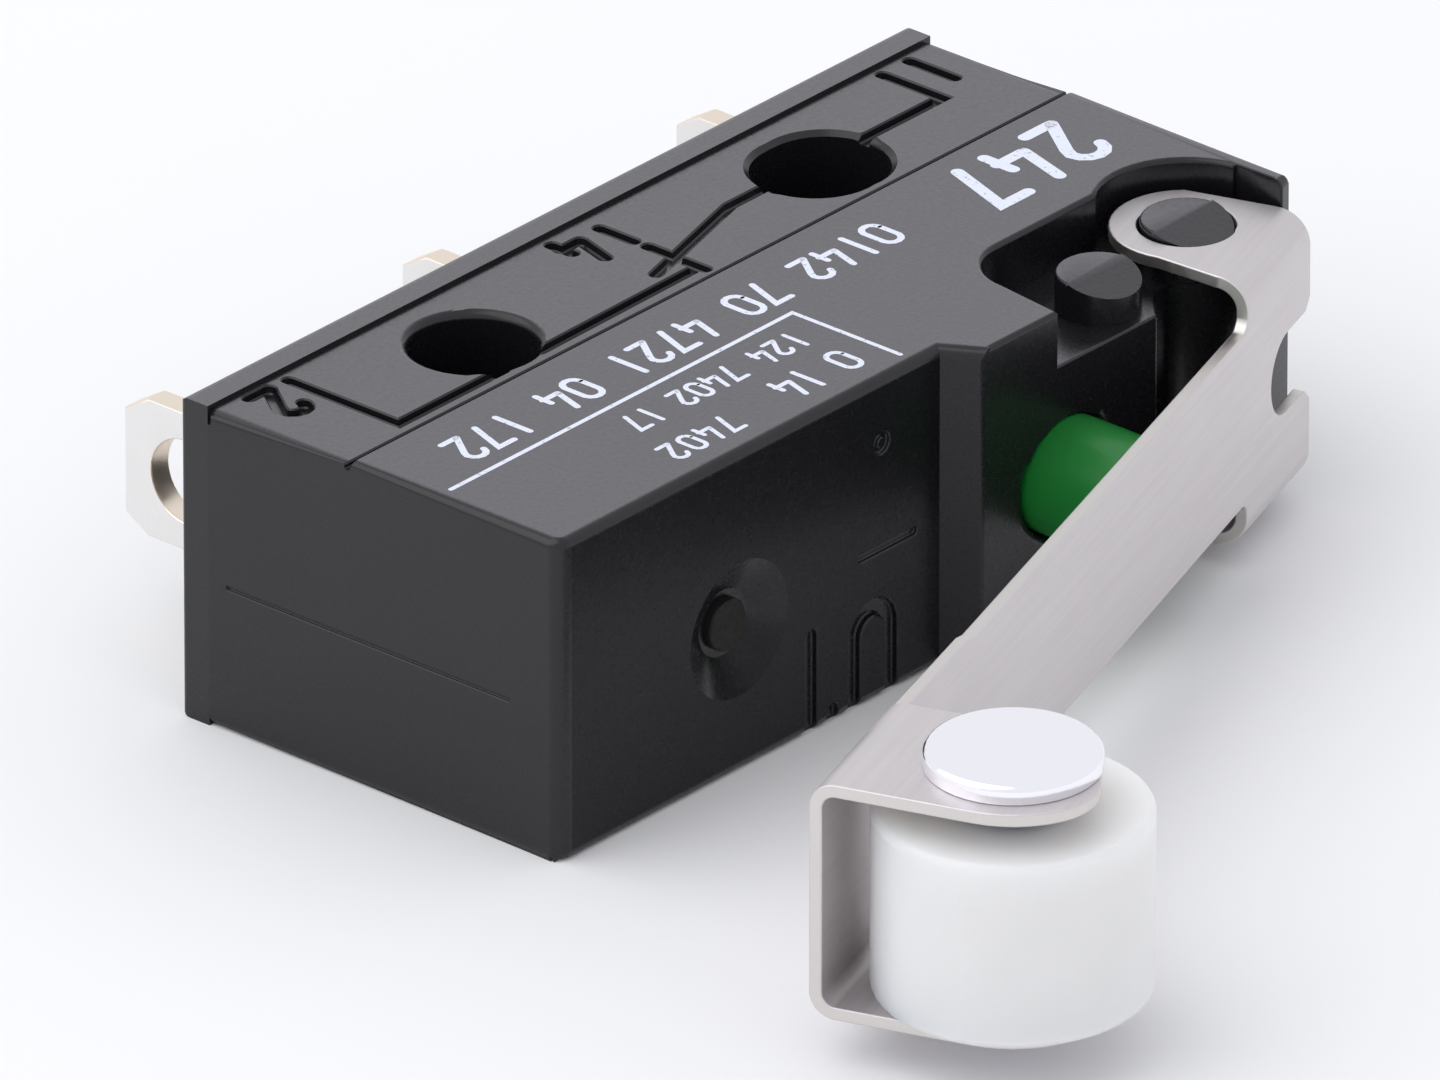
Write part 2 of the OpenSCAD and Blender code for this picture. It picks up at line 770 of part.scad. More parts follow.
module contact_arm() {
    arm_end = arm_l + contact_l;
    slot_end = hook_u + arm_hook_r + wire_d / 2 + hook_gap;
    color("#b9854a")
        on_arm()
            union() {
                difference() {
                    box([0, -arm_t / 2, mid_z - arm_w / 2], [arm_end, arm_t / 2, mid_z + arm_w / 2]);
                    box([window_start, -over, mid_z - window_w / 2], [hook_u, over, mid_z + window_w / 2]);
                    box([hook_u - eps, -over, mid_z - hook_slot / 2],
                        [slot_end, over, mid_z + hook_slot / 2]);
                }
                translate([hook_u, 0, mid_z - arm_w / 2])
                    cylinder(h = arm_w, d = hook_bar);
                translate([0, 0, mid_z - arm_w / 2])
                    cylinder(h = arm_w, d = arm_t);
            }
}

// Half-round bar along the arm, on its front or back face
module moving_contact(side) {
    on_arm()
        translate([arm_l, side * arm_t / 2, mid_z])
            rotate([0, 90, 0])
                intersection() {
                    cylinder(h = contact_l, r = contact_r, center = true);
                    translate([-contact_r, side > 0 ? 0 : -contact_r, -contact_l])
                        cube([2 * contact_r, contact_r, 2 * contact_l]);
                }
}

module moving_contact_front() {
    color("gold")
        moving_contact(1);
}

module moving_contact_back() {
    color("gold")
        moving_contact(-1);
}

module rocker() {
    bar_u = rocker_l - rocker_t / 2;
    slot_u = bar_u - rocker_hook_r - wire_d / 2 - hook_gap;
    color("#e4ded0")
        translate([trunnion.x, trunnion.y, 0])
            rotate(180 - rocker_angle)
                union() {
                    difference() {
                        box([0, -rocker_t / 2, mid_z - rocker_w / 2],
                            [bar_u, rocker_t / 2, mid_z + rocker_w / 2]);
                        box([slot_u, -over, mid_z - hook_slot / 2],
                            [bar_u + over, over, mid_z + hook_slot / 2]);
                    }
                    translate([bar_u, 0, mid_z - rocker_w / 2])
                        cylinder(h = rocker_w, d = rocker_t);
                    translate([0, 0, mid_z - low_ceiling + trunnion_play])
                        cylinder(h = 2 * (low_ceiling - trunnion_play), d = trunnion_d);
                }
}

module snap_spring() {
    span = rocker_hook - arm_hook;
    length = norm(span);
    axis = [span.x / length, span.y / length, 0];
    side = [-axis.y, axis.x, 0];
    start = [arm_hook.x, arm_hook.y, mid_z];
    coil_r = (spring_d - wire_d) / 2;
    coil_l = length - arm_hook_r - rocker_hook_r;
    turns = floor(coil_l / spring_pitch);
    // Points in a turn and in a hook, and the arc that a hook covers
    steps = 12;
    ring = 9;
    hook_arc = 230;
    first_hook = [
        for (i = [0:ring - 1])
            let (a = 360 - hook_arc + hook_arc * i / ring)
            start + arm_hook_r * (cos(a) * axis + sin(a) * side)
    ];
    coil = [
        for (i = [0:turns * steps])
            let (
                s = i / (turns * steps),
                a = 360 * i / steps,
                grow = min(1, 2 * min(i, turns * steps - i) / steps)
            )
            start + (arm_hook_r + s * coil_l) * axis
                + grow * coil_r * (cos(a) * side + sin(a) * [0, 0, 1])
    ];
    last_hook = [
        for (i = [1:ring])
            let (a = 180 + hook_arc * i / ring)
            start + length * axis + rocker_hook_r * (cos(a) * axis + sin(a) * side)
    ];
    color("silver")
        wire(concat(first_hook, coil, last_hook), wire_d);
}

module plunger() {
    color("#22702f")
        union() {
            intersection() {
                translate([plunger_x, foot_y + foot_t / 2, plunger_z])
                    rotate([90, 0, 0])
                        cylinder(h = reach, d = plunger_d);
                translate([plunger_x, dome_center.y, plunger_z])
                    union() {
                        sphere(dome_r);
                        translate([-reach, 0, -reach])
                            cube(2 * reach);
                    }
            }
            box([plunger_x - foot_l / 2, foot_y, mid_z - inner_half],
                [plunger_x + foot_l / 2, foot_y + foot_t, mid_z + inner_half]);
            translate([plunger_x, nose_crest - nose_r, mid_z - rocker_w / 2])
                cylinder(h = rocker_w, r = nose_r);
            box([plunger_x - nose_r, foot_y, mid_z - rocker_w / 2],
                [plunger_x + nose_r, nose_crest - nose_r, mid_z + rocker_w / 2]);
        }
}

// Turns a solid drawn in the lever frame to its place at rest
module on_lever() {
    translate([pivot.x, pivot.y, mid_z])
        rotate(180 + lever_angle)
            children();
}

// A section drawn as v and z, extruded along u
module along_arm(u0, u1) {
    translate([u0, 0, 0])
        rotate([90, 0, 90])
            linear_extrude(u1 - u0)
                children();
}

// Section of one ear with its bend and half of the arm's end
module ear_section() {
    bend = [web_offset - ear_bend_out, ear_top - ear_bend_out];
    translate([-ear_r, ear_bottom])
        square([ear_r + bend.x, sheet_t]);
    translate(bend)
        quarter_ring(ear_bend_r, ear_bend_out);
    translate([web_in, 0])
        square([sheet_t, bend.y]);
}

// Plan of an ear: a ring round the pivot that runs out into its bend
module ear_plan() {
    difference() {
        union() {
            intersection() {
                circle(ear_r);
                translate([-ear_heel, -reach])
                    square(2 * reach);
            }
            polygon([
                [-ear_heel, 0],
                [ear_r, 0],
                [ear_toe, web_offset - ear_bend_out],
                [ear_toe, web_offset + over],
                [-ear_heel, web_offset + over]
            ]);
        }
        circle(lug_d / 2 + pivot_gap);
    }
}

// Section of one fork cheek with its bend and half of the arm's tip
module cheek_section() {
    bend = [web_in + fork_bend_out, fork_bend_z];
    translate([bend.x, fork_z - sheet_t])
        square([roller_v + cheek_r - bend.x, sheet_t]);
    translate(bend)
        mirror([1, 0])
            quarter_ring(fork_bend_r, fork_bend_out);
    translate([web_in, 0])
        square([sheet_t, bend.y]);
}

// Plan of a cheek: straight from the arm, round about the axle
module cheek_plan() {
    difference() {
        union() {
            translate([fork_start, 0])
                square([lever_end - fork_start, roller_v]);
            intersection() {
                translate([roller_u, roller_v])
                    circle(cheek_r);
                translate([fork_start, 0])
                    square(reach);
            }
        }
        translate([roller_u, roller_v])
            circle(d = axle_d);
    }
}

// Half of the flat arm, drawn in u and z
module arm_half() {
    polygon([
        [0, 0],
        [0, arm_w_root / 2],
        [ear_toe, arm_w_root / 2],
        [shoulder_u, arm_w_mid / 2],
        [shoulder_u + shoulder_l, arm_w_mid / 2 + shoulder_h],
        [fork_start - fork_taper, arm_w_tip / 2],
        [fork_start, fork_bend_z],
        [roller_u, fork_bend_z],
        [roller_u, 0]
    ]);
    translate([ear_toe - eps, arm_w_root / 2 - eps])
        corner_cut(ear_fillet);
}

// Upper half of the lever, above the middle plane
module lever_half() {
    intersection() {
        along_arm(-ear_heel, ear_toe)
            ear_section();
        slab(-over, reach)
            ear_plan();
    }
    translate([0, web_offset, 0])
        rotate([90, 0, 0])
            linear_extrude(sheet_t)
                arm_half();
    intersection() {
        along_arm(fork_start, lever_end)
            cheek_section();
        slab(-over, reach)
            cheek_plan();
    }
}

module lever() {
    slot_end = heel_slot_l - ear_heel - heel_slot_w / 2;
    color("#c5c2c0")
        on_lever()
            difference() {
                union() {
                    lever_half();
                    mirror([0, 0, 1])
                        lever_half();
                }
                translate([slot_end, web_in - over, 0])
                    rotate([-90, 0, 0])
                        cylinder(h = sheet_t + 2 * over, d = heel_slot_w);
                translate([0, web_offset + over, 0])
                    rotate([90, 0, 0])
                        linear_extrude(sheet_t + 2 * over)
                            polygon([
                                [slot_end, -heel_slot_w / 2],
                                [-ear_heel + heel_flare, -heel_slot_w / 2],
                                [-ear_heel - heel_flare, -heel_slot_w / 2 - 2 * heel_flare],
                                [-ear_heel - heel_flare, heel_slot_w / 2 + 2 * heel_flare],
                                [-ear_heel + heel_flare, heel_slot_w / 2],
                                [slot_end, heel_slot_w / 2]
                            ]);
            }
}

// Turns a solid drawn round the roller axis to its place at rest
module on_axle() {
    on_lever()
        translate([roller_u, roller_v, 0])
            children();
}

module roller() {
    h = roller_l / 2;
    r_out = roller_d / 2;
    r_in = axle_d / 2 + axle_gap;
    color("#e2e2e4")
        on_axle()
            translate([0, 0, -roller_drop])
                rotate_extrude()
                    difference() {
                        translate([r_in, -h])
                            square([r_out - r_in, roller_l]);
                        translate([r_out, h])
                            rotate(180)
                                corner_cut(roller_edge_r);
                        translate([r_out, -h])
                            rotate(90)
                                corner_cut(roller_edge_r);
                    }
}

module roller_axle() {
    color("#d8dae0")
        on_axle()
            rotate_extrude()
                polygon([
                    [0, -fork_z - tail_h],
                    [tail_d / 2 - head_chamfer, -fork_z - tail_h],
                    [tail_d / 2, -fork_z - tail_h + head_chamfer],
                    [tail_d / 2, -fork_z],
                    [axle_d / 2, -fork_z],
                    [axle_d / 2, fork_z],
                    [head_d / 2, fork_z],
                    [head_d / 2, fork_z + head_h - head_chamfer],
                    [head_d / 2 - head_chamfer, fork_z + head_h],
                    [0, fork_z + head_h]
                ]);
}

housing();
terminal_base();
common_terminal();
normally_closed_terminal();
normally_open_terminal();
normally_closed_contact();
normally_open_contact();
contact_arm();
moving_contact_front();
moving_contact_back();
rocker();
snap_spring();
plunger();
lever();
roller();
roller_axle();
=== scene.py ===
"""Dresses a subminiature snap-action switch with a roller lever.

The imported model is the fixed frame. Every length below is in millimetres and is turned to metres where
a mesh, a light or the camera is made. +X runs along the body to the lever pivot, +Y to the solder tags
and +Z up from the lower broad face, on which the switch lies.
"""

import logging
import math
from collections.abc import Callable
from dataclasses import dataclass, field
from enum import Enum
from typing import Any

import bmesh
import bpy
from mathutils import Matrix, Vector
from mathutils.geometry import intersect_point_line


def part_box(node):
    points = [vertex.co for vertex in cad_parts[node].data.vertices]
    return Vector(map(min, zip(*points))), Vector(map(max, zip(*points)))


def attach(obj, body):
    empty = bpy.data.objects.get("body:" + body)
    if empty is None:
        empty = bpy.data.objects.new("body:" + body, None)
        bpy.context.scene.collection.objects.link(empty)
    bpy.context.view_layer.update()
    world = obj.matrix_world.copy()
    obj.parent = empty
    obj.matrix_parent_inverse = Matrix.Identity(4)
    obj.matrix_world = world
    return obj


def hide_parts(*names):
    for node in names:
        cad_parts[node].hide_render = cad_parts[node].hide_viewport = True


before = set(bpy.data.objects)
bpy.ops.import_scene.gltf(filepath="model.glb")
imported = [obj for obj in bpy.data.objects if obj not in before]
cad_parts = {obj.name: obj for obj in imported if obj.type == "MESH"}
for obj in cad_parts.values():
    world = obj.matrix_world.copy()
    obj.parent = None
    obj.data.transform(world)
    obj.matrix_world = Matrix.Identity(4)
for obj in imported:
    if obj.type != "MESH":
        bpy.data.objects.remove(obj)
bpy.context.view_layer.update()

LOG = logging.getLogger("micro_switch")
MM = 0.001

# Material number that marks the faces of the moulded signs while edges are rounded.
SIGN_SLOT = 2

# Points of a CAD mesh closer than this are one, and faces that turn by less than this are one flat face.
WELD_MM = 0.0002
FLAT_DEG = 0.2
# Two places closer than this are the same place.
TOUCH_MM = 0.001
# A normal points along an axis if its part on it is above the first, and across it if below the second.
ALONG = 0.99
ACROSS = 0.01
# A rounding needs this many of its own widths beside its edge.
ROUNDING_ROOM = 2.2
# Two outlines of a face look at each other where the product of their inward directions is below this.
OPPOSITE = -0.3
# Stamping leaves edges that turn by more than this, and cut faces are about as wide as the strip is thick.
STAMPED_DEG = 60.0
CUT_WIDTH_SLACK = 1.3
# Weight of the larger faces in the shading of a rounded piece, where 50 is even.
LARGE_FACES_LEAD = 80

Point = tuple[float, float]
Line = tuple[Point, ...]


def linear(colour: str) -> tuple[float, float, float, float]:
    """Turn an sRGB hex colour to the linear colour that a shader socket takes.

    Args:
        colour: Six hex digits with a leading #.

    Returns:
        Linear red, green, blue and an alpha of one.
    """
    parts = [int(colour[i:i + 2], 16) / 255 for i in (1, 3, 5)]
    red, green, blue = (c / 12.92 if c <= 0.04045 else ((c + 0.055) / 1.055) ** 2.4 for c in parts)
    return red, green, blue, 1.0


def per_metre(size_mm: float) -> float:
    """Scale of a pattern whose features are this many millimetres wide."""
    return 1 / (size_mm * MM)


def add_node(
    tree: bpy.types.NodeTree,
    kind: str,
    settings: dict[str, Any] | None = None,
    values: dict[str | int, Any] | None = None,
    links: dict[str | int, bpy.types.NodeSocket] | None = None,
) -> bpy.types.Node:
    """Add a node with its settings, its constant inputs and its links.

    Args:
        tree: The node tree that the node joins.
        kind: Blender's name of the node.
        settings: Properties of the node itself.
        values: Constant inputs by socket name or number.
        links: Outputs of other nodes by the socket name or number that they feed.

    Returns:
        The new node.
    """
    node = tree.nodes.new(kind)
    for name, value in (settings or {}).items():
        setattr(node, name, value)
    for socket, value in (values or {}).items():
        node.inputs[socket].default_value = value
    for socket, source in (links or {}).items():
        tree.links.new(source, node.inputs[socket])
    return node


class Finish:
    """A surface finish that makes its material once and paints it in a subclass."""

    name: str

    def material(self) -> bpy.types.Material:
        """Return the material of this finish, made on first use.

        Returns:
            The material, with its nodes in place.
        """
        made = bpy.data.materials.get(self.name)
        if made is not None:
            return made
        made = bpy.data.materials.new(self.name)
        made.use_nodes = True
        tree = made.node_tree
        tree.nodes.clear()
        surface = add_node(tree, "ShaderNodeBsdfPrincipled")
        add_node(tree, "ShaderNodeOutputMaterial", links={"Surface": surface.outputs["BSDF"]})
        self.paint(tree, surface)
        return made

    def paint(self, tree: bpy.types.NodeTree, surface: bpy.types.Node) -> None:
        """Set the shader's sockets and add the pattern nodes.

        Args:
            tree: The material's node tree.
            surface: Its shader node.
        """
        raise NotImplementedError


def set_sockets(surface: bpy.types.Node, **values: Any) -> None:
    """Set constant sockets of a shader.

    Args:
        surface: The shader node.
        values: Socket names with _ in place of each space.
    """
    for name, value in values.items():
        surface.inputs[name.replace("_", " ")].default_value = value


class GrainedFinish(Finish):
    """A finish whose gloss varies from place to place, over a fine relief."""

    roughness: tuple[float, float]
    # Noise mostly lies between these, so they give the least and the greatest roughness.
    noise_span: Point = (0.3, 0.7)

    def wire(
        self,
        tree: bpy.types.NodeTree,
        surface: bpy.types.Node,
        gloss: bpy.types.NodeSocket,
        relief: bpy.types.NodeSocket,
        depth_mm: float,
    ) -> None:
        """Let one pattern vary the roughness and another raise the surface.

        Args:
            tree: The material's node tree.
            surface: Its shader node.
            gloss: Pattern that runs from the least to the greatest roughness.
            relief: Pattern of heights.
            depth_mm: Depth of the relief.
        """
        rough = add_node(
            tree, "ShaderNodeMapRange",
            values={
                "From Min": self.noise_span[0], "From Max": self.noise_span[1],
                "To Min": self.roughness[0], "To Max": self.roughness[1],
            },
            links={"Value": gloss},
        )
        raised = add_node(
            tree, "ShaderNodeBump", values={"Strength": 1.0, "Distance": depth_mm * MM},
            links={"Height": relief},
        )
        tree.links.new(rough.outputs[0], surface.inputs["Roughness"])
        tree.links.new(raised.outputs[0], surface.inputs["Normal"])


@dataclass(frozen=True)
class MouldedThermoset(GrainedFinish):
    """Black mineral-filled thermoset, pressed in a spark-eroded mould.

    The eroded mould leaves a dense grain, so the plastic has a satin sheen at a flat angle and is deep
    black where it faces the eye. Slow flow bands shift the black a little.
    """

    name: str = "thermoset_black_spark_eroded"
    colour: str = "#121114"
    flow_colour: str = "#19181c"
    roughness: tuple[float, float] = (0.22, 0.3)
    ior: float = 1.46
    flow_mm: float = 2.4
    # The real grain of about 0.03 mm is hardly wider than a pixel, so it is drawn coarser to show.
    grain_mm: float = 0.10
    grain_depth_mm: float = 0.0016

    def paint(self, tree: bpy.types.NodeTree, surface: bpy.types.Node) -> None:
        """Add flow bands to the colour and the eroded grain to the gloss and the relief.

        Args:
            tree: The material's node tree.
            surface: Its shader node.
        """
        set_sockets(surface, IOR=self.ior)
        place = add_node(tree, "ShaderNodeTexCoord").outputs["Object"]
        flow = add_node(
            tree, "ShaderNodeTexNoise", values={"Scale": per_metre(self.flow_mm), "Detail": 3.0},
            links={"Vector": place},
        )
        tint = add_node(
            tree, "ShaderNodeMix", settings={"data_type": "RGBA"},
            values={6: linear(self.colour), 7: linear(self.flow_colour)}, links={0: flow.outputs[0]},
        )
        grain = add_node(
            tree, "ShaderNodeTexNoise", values={"Scale": per_metre(self.grain_mm), "Detail": 2.0},
            links={"Vector": place},
        )
        tree.links.new(tint.outputs[2], surface.inputs["Base Color"])
        self.wire(tree, surface, grain.outputs[0], grain.outputs[0], self.grain_depth_mm)


@dataclass(frozen=True)
class PadPrint(Finish):
    """White two-part ink, pad printed.

    A thin film with a slightly broken edge and pinholes, so the black below shows through in specks.
    """

    name: str = "ink_white_pad_printed"
    colour: str = "#d5dae6"
    thin_colour: str = "#8d919c"
    roughness: float = 0.5
    pinhole_mm: float = 0.09
    # Noise below the first is a pinhole, and above the second it is full ink.
    cover_span: Point = (0.26, 0.38)

    def paint(self, tree: bpy.types.NodeTree, surface: bpy.types.Node) -> None:
        """Break the ink up with pinholes.

        Args:
            tree: The material's node tree.
            surface: Its shader node.
        """
        set_sockets(surface, Roughness=self.roughness)
        place = add_node(tree, "ShaderNodeTexCoord").outputs["Object"]
        speck = add_node(
            tree, "ShaderNodeTexNoise", values={"Scale": per_metre(self.pinhole_mm), "Detail": 2.0},
            links={"Vector": place},
        )
        cover = add_node(
            tree, "ShaderNodeMapRange",
            values={"From Min": self.cover_span[0], "From Max": self.cover_span[1]},
            links={"Value": speck.outputs[0]},
        )
        tint = add_node(
            tree, "ShaderNodeMix", settings={"data_type": "RGBA"},
            values={6: linear(self.thin_colour), 7: linear(self.colour)}, links={0: cover.outputs[0]},
        )
        tree.links.new(tint.outputs[2], surface.inputs["Base Color"])


@dataclass(frozen=True)
class RolledStrip(GrainedFinish):
    """Metal strip, cold rolled and stamped.

    Rolling leaves faint streaks along the strip that smear reflections lengthways, over a slow
    unevenness of the gloss.
    """

    name: str = "stainless_strip_cold_rolled"
    colour: str = "#dcd8d9"
    streak_colour: str = "#cfcacb"
    roughness: tuple[float, float] = (0.44, 0.56)
    # Angle of the rolling direction to the X axis, in degrees.
    direction_deg: float = 0.0
    # Real streaks of about 0.02 mm are as fine as a pixel, so they are drawn coarser to show.
    streak_mm: float = 0.09
    streak_length_mm: float = 3.5
    streak_depth_mm: float = 0.0009
    cloud_mm: float = 1.8

    def paint(self, tree: bpy.types.NodeTree, surface: bpy.types.Node) -> None:
        """Add rolling streaks and a slow unevenness of the gloss.

        Args:
            tree: The material's node tree.
            surface: Its shader node.
        """
        set_sockets(surface, Metallic=1.0)
        place = add_node(tree, "ShaderNodeTexCoord").outputs["Object"]
        along = add_node(
            tree, "ShaderNodeMapping", settings={"vector_type": "TEXTURE"},
            values={
                "Rotation": (0.0, 0.0, math.radians(self.direction_deg)),
                "Scale": (self.streak_length_mm * MM, self.streak_mm * MM, self.streak_mm * MM),
            },
            links={"Vector": place},
        )
        streak = add_node(
            tree, "ShaderNodeTexNoise", values={"Scale": 1.0, "Detail": 3.0},
            links={"Vector": along.outputs[0]},
        )
        cloud = add_node(
            tree, "ShaderNodeTexNoise", values={"Scale": per_metre(self.cloud_mm), "Detail": 3.0},
            links={"Vector": place},
        )
        tint = add_node(
            tree, "ShaderNodeMix", settings={"data_type": "RGBA"},
            values={6: linear(self.colour), 7: linear(self.streak_colour)}, links={0: streak.outputs[0]},
        )
        tree.links.new(tint.outputs[2], surface.inputs["Base Color"])
        self.wire(tree, surface, cloud.outputs[0], streak.outputs[0], self.streak_depth_mm)


@dataclass(frozen=True)
class PlatedBlank(GrainedFinish):
    """Brass strip, tin plated before it was stamped.

    The broad faces are pale satin tin, while the stamped edges and the punched eye show bare brass
    with the fine scores of the cut.
    """

    name: str = "brass_tin_plated_stamped"
    face_colour: str = "#eceae8"
    cut_colour: str = "#f3e6d5"
    # A face goes over from bare to plated as the X part of its normal runs between these.
    plated_span: Point = (0.75, 0.95)
    roughness: tuple[float, float] = (0.25, 0.4)
    cloud_mm: float = 0.7
    # Real scores are as fine as a pixel too, so they are drawn coarser to show.
    score_mm: float = 0.08
    score_depth_mm: float = 0.001

    def paint(self, tree: bpy.types.NodeTree, surface: bpy.types.Node) -> None:
        """Plate the faces across X and leave the cut edges bare.

        Args:
            tree: The material's node tree.
            surface: Its shader node.
        """
        set_sockets(surface, Metallic=1.0)
        place = add_node(tree, "ShaderNodeTexCoord")
        facing = add_node(tree, "ShaderNodeSeparateXYZ", links={0: place.outputs["Normal"]})
        across = add_node(
            tree, "ShaderNodeMath", settings={"operation": "ABSOLUTE"}, links={0: facing.outputs[0]},
        )
        plated = add_node(
            tree, "ShaderNodeMapRange",
            values={"From Min": self.plated_span[0], "From Max": self.plated_span[1]},
            links={"Value": across.outputs[0]},
        )
        tint = add_node(
            tree, "ShaderNodeMix", settings={"data_type": "RGBA"},
            values={6: linear(self.cut_colour), 7: linear(self.face_colour)}, links={0: plated.outputs[0]},
        )
        cloud = add_node(
            tree, "ShaderNodeTexNoise", values={"Scale": per_metre(self.cloud_mm), "Detail": 4.0},
            links={"Vector": place.outputs["Object"]},
        )
        score = add_node(
            tree, "ShaderNodeTexNoise", values={"Scale": per_metre(self.score_mm), "Detail": 2.0},
            links={"Vector": place.outputs["Object"]},
        )
        tree.links.new(tint.outputs[2], surface.inputs["Base Color"])
        self.wire(tree, surface, cloud.outputs[0], score.outputs[0], self.score_depth_mm)


@dataclass(frozen=True)
class BrightMetal(GrainedFinish):
    """Headed, drawn, clad or sheared metal without rolling streaks.

    It mirrors what is round it, with a faint orange peel from the tool and a few duller patches.
    """

    name: str = "steel_nickel_plated_headed"
    colour: str = "#fbfaff"
    roughness: tuple[float, float] = (0.12, 0.2)
    noise_span: Point = (0.35, 0.7)
    smudge_mm: float = 0.9
    peel_mm: float = 0.35
    peel_depth_mm: float = 0.0006

    def paint(self, tree: bpy.types.NodeTree, surface: bpy.types.Node) -> None:
        """Add duller patches and a faint peel.

        Args:
            tree: The material's node tree.
            surface: Its shader node.
        """
        set_sockets(surface, Metallic=1.0, Base_Color=linear(self.colour))
        place = add_node(tree, "ShaderNodeTexCoord").outputs["Object"]
        smudge = add_node(
            tree, "ShaderNodeTexNoise", values={"Scale": per_metre(self.smudge_mm), "Detail": 4.0},
            links={"Vector": place},
        )
        peel = add_node(
            tree, "ShaderNodeTexNoise", values={"Scale": per_metre(self.peel_mm), "Detail": 1.0},
            links={"Vector": place},
        )
        self.wire(tree, surface, smudge.outputs[0], peel.outputs[0], self.peel_depth_mm)


@dataclass(frozen=True)
class MouldedThermoplastic(GrainedFinish):
    """Unfilled thermoplastic, injection moulded in a polished tool.

    Light enters a little way and comes back softened, so shadows on it are pale, under a smooth skin
    with slow sink waves.
    """

    name: str
    colour: str
    shade_colour: str
    depth_mm: float
    scatter: float
    scatter_tint: tuple[float, float, float] = (1.0, 0.95, 0.9)
    roughness: tuple[float, float] = (0.28, 0.4)
    ior: float = 1.48
    cloud_mm: float = 1.6
    wave_mm: float = 0.5
    wave_depth_mm: float = 0.0012

    def paint(self, tree: bpy.types.NodeTree, surface: bpy.types.Node) -> None:
        """Let light into the plastic and add the sink waves.

        Args:
            tree: The material's node tree.
            surface: Its shader node.
        """
        set_sockets(
            surface, IOR=self.ior, Subsurface_Weight=self.scatter, Subsurface_Scale=self.depth_mm * MM,
            Subsurface_Radius=self.scatter_tint,
        )
        place = add_node(tree, "ShaderNodeTexCoord").outputs["Object"]
        cloud = add_node(
            tree, "ShaderNodeTexNoise", values={"Scale": per_metre(self.cloud_mm), "Detail": 3.0},
            links={"Vector": place},
        )
        tint = add_node(
            tree, "ShaderNodeMix", settings={"data_type": "RGBA"},
            values={6: linear(self.colour), 7: linear(self.shade_colour)}, links={0: cloud.outputs[0]},
        )
        wave = add_node(
            tree, "ShaderNodeTexNoise", values={"Scale": per_metre(self.wave_mm), "Detail": 1.0},
            links={"Vector": place},
        )
        tree.links.new(tint.outputs[2], surface.inputs["Base Color"])
        self.wire(tree, surface, cloud.outputs[0], wave.outputs[0], self.wave_depth_mm)


@dataclass(frozen=True)
class PaintedBoard(Finish):
    """Matt white painted board under the switch: pale and even, with no gloss of its own."""

    name: str = "board_matt_white_painted"
    colour: str = "#f2f2f3"
    shade_colour: str = "#eeeeef"
    roughness: float = 0.9
    cloud_mm: float = 40.0

    def paint(self, tree: bpy.types.NodeTree, surface: bpy.types.Node) -> None:
        """Vary the white a little.

        Args:
            tree: The material's node tree.
            surface: Its shader node.
        """
        set_sockets(surface, Roughness=self.roughness)
        place = add_node(tree, "ShaderNodeTexCoord").outputs["Object"]
        cloud = add_node(
            tree, "ShaderNodeTexNoise", values={"Scale": per_metre(self.cloud_mm)}, links={"Vector": place},
        )
        tint = add_node(
            tree, "ShaderNodeMix", settings={"data_type": "RGBA"},
            values={6: linear(self.colour), 7: linear(self.shade_colour)}, links={0: cloud.outputs[0]},
        )
        tree.links.new(tint.outputs[2], surface.inputs["Base Color"])


def soften(piece: bpy.types.Object, edge_mm: float, angle_deg: float = 32.0, segments: int = 3) -> None:
    """Round a piece's sharp edges with modifiers, which leave its own mesh as it is.

    Args:
        piece: The object to round.
        edge_mm: Width of the rounding.
        angle_deg: Edges flatter than this stay as they are.
        segments: Faces across the rounding.
    """
    weld = piece.modifiers.new("weld", "WELD")
    weld.merge_threshold = WELD_MM * MM
    flat = piece.modifiers.new("flat_faces", "DECIMATE")
    flat.decimate_type = "DISSOLVE"
    flat.angle_limit = math.radians(FLAT_DEG)
    edge = piece.modifiers.new("soft_edges", "BEVEL")
    edge.width = edge_mm * MM
    edge.segments = segments
    edge.limit_method = "ANGLE"
    edge.angle_limit = math.radians(angle_deg)
    edge.use_clamp_overlap = False
    shade = piece.modifiers.new("even_shading", "WEIGHTED_NORMAL")
    shade.weight = LARGE_FACES_LEAD


def dress(piece: bpy.types.Object, *finishes: Finish) -> None:
    """Give a piece its finishes in place of any it has.

    Args:
        piece: The object to dress.
        finishes: Its finishes, by the material number of its faces.
    """
    if piece.data.materials:
        piece.data.materials.clear()
    for finish in finishes:
        piece.data.materials.append(finish.material())
        LOG.info("%s dressed in %s", piece.name, finish.name)


class Face(Enum):
    """A face of the case that carries moulded signs."""

    TOP = "top"
    FRONT = "front"
    END = "end"


@dataclass(frozen=True)
class Groove:
    """A moulded groove along a line on one face of the case."""

    face: Face
    line: Line
    width_mm: float
    depth_mm: float
    # The broken lip at the mouth, at most this wide and at most this share of the depth.
    lip_mm: float = 0.03
    lip_share: float = 0.3
    # Width at the foot of the steep walls as a share of the mouth, and how far the cutter stands out.
    taper: float = 0.9
    proud_mm: float = 0.12


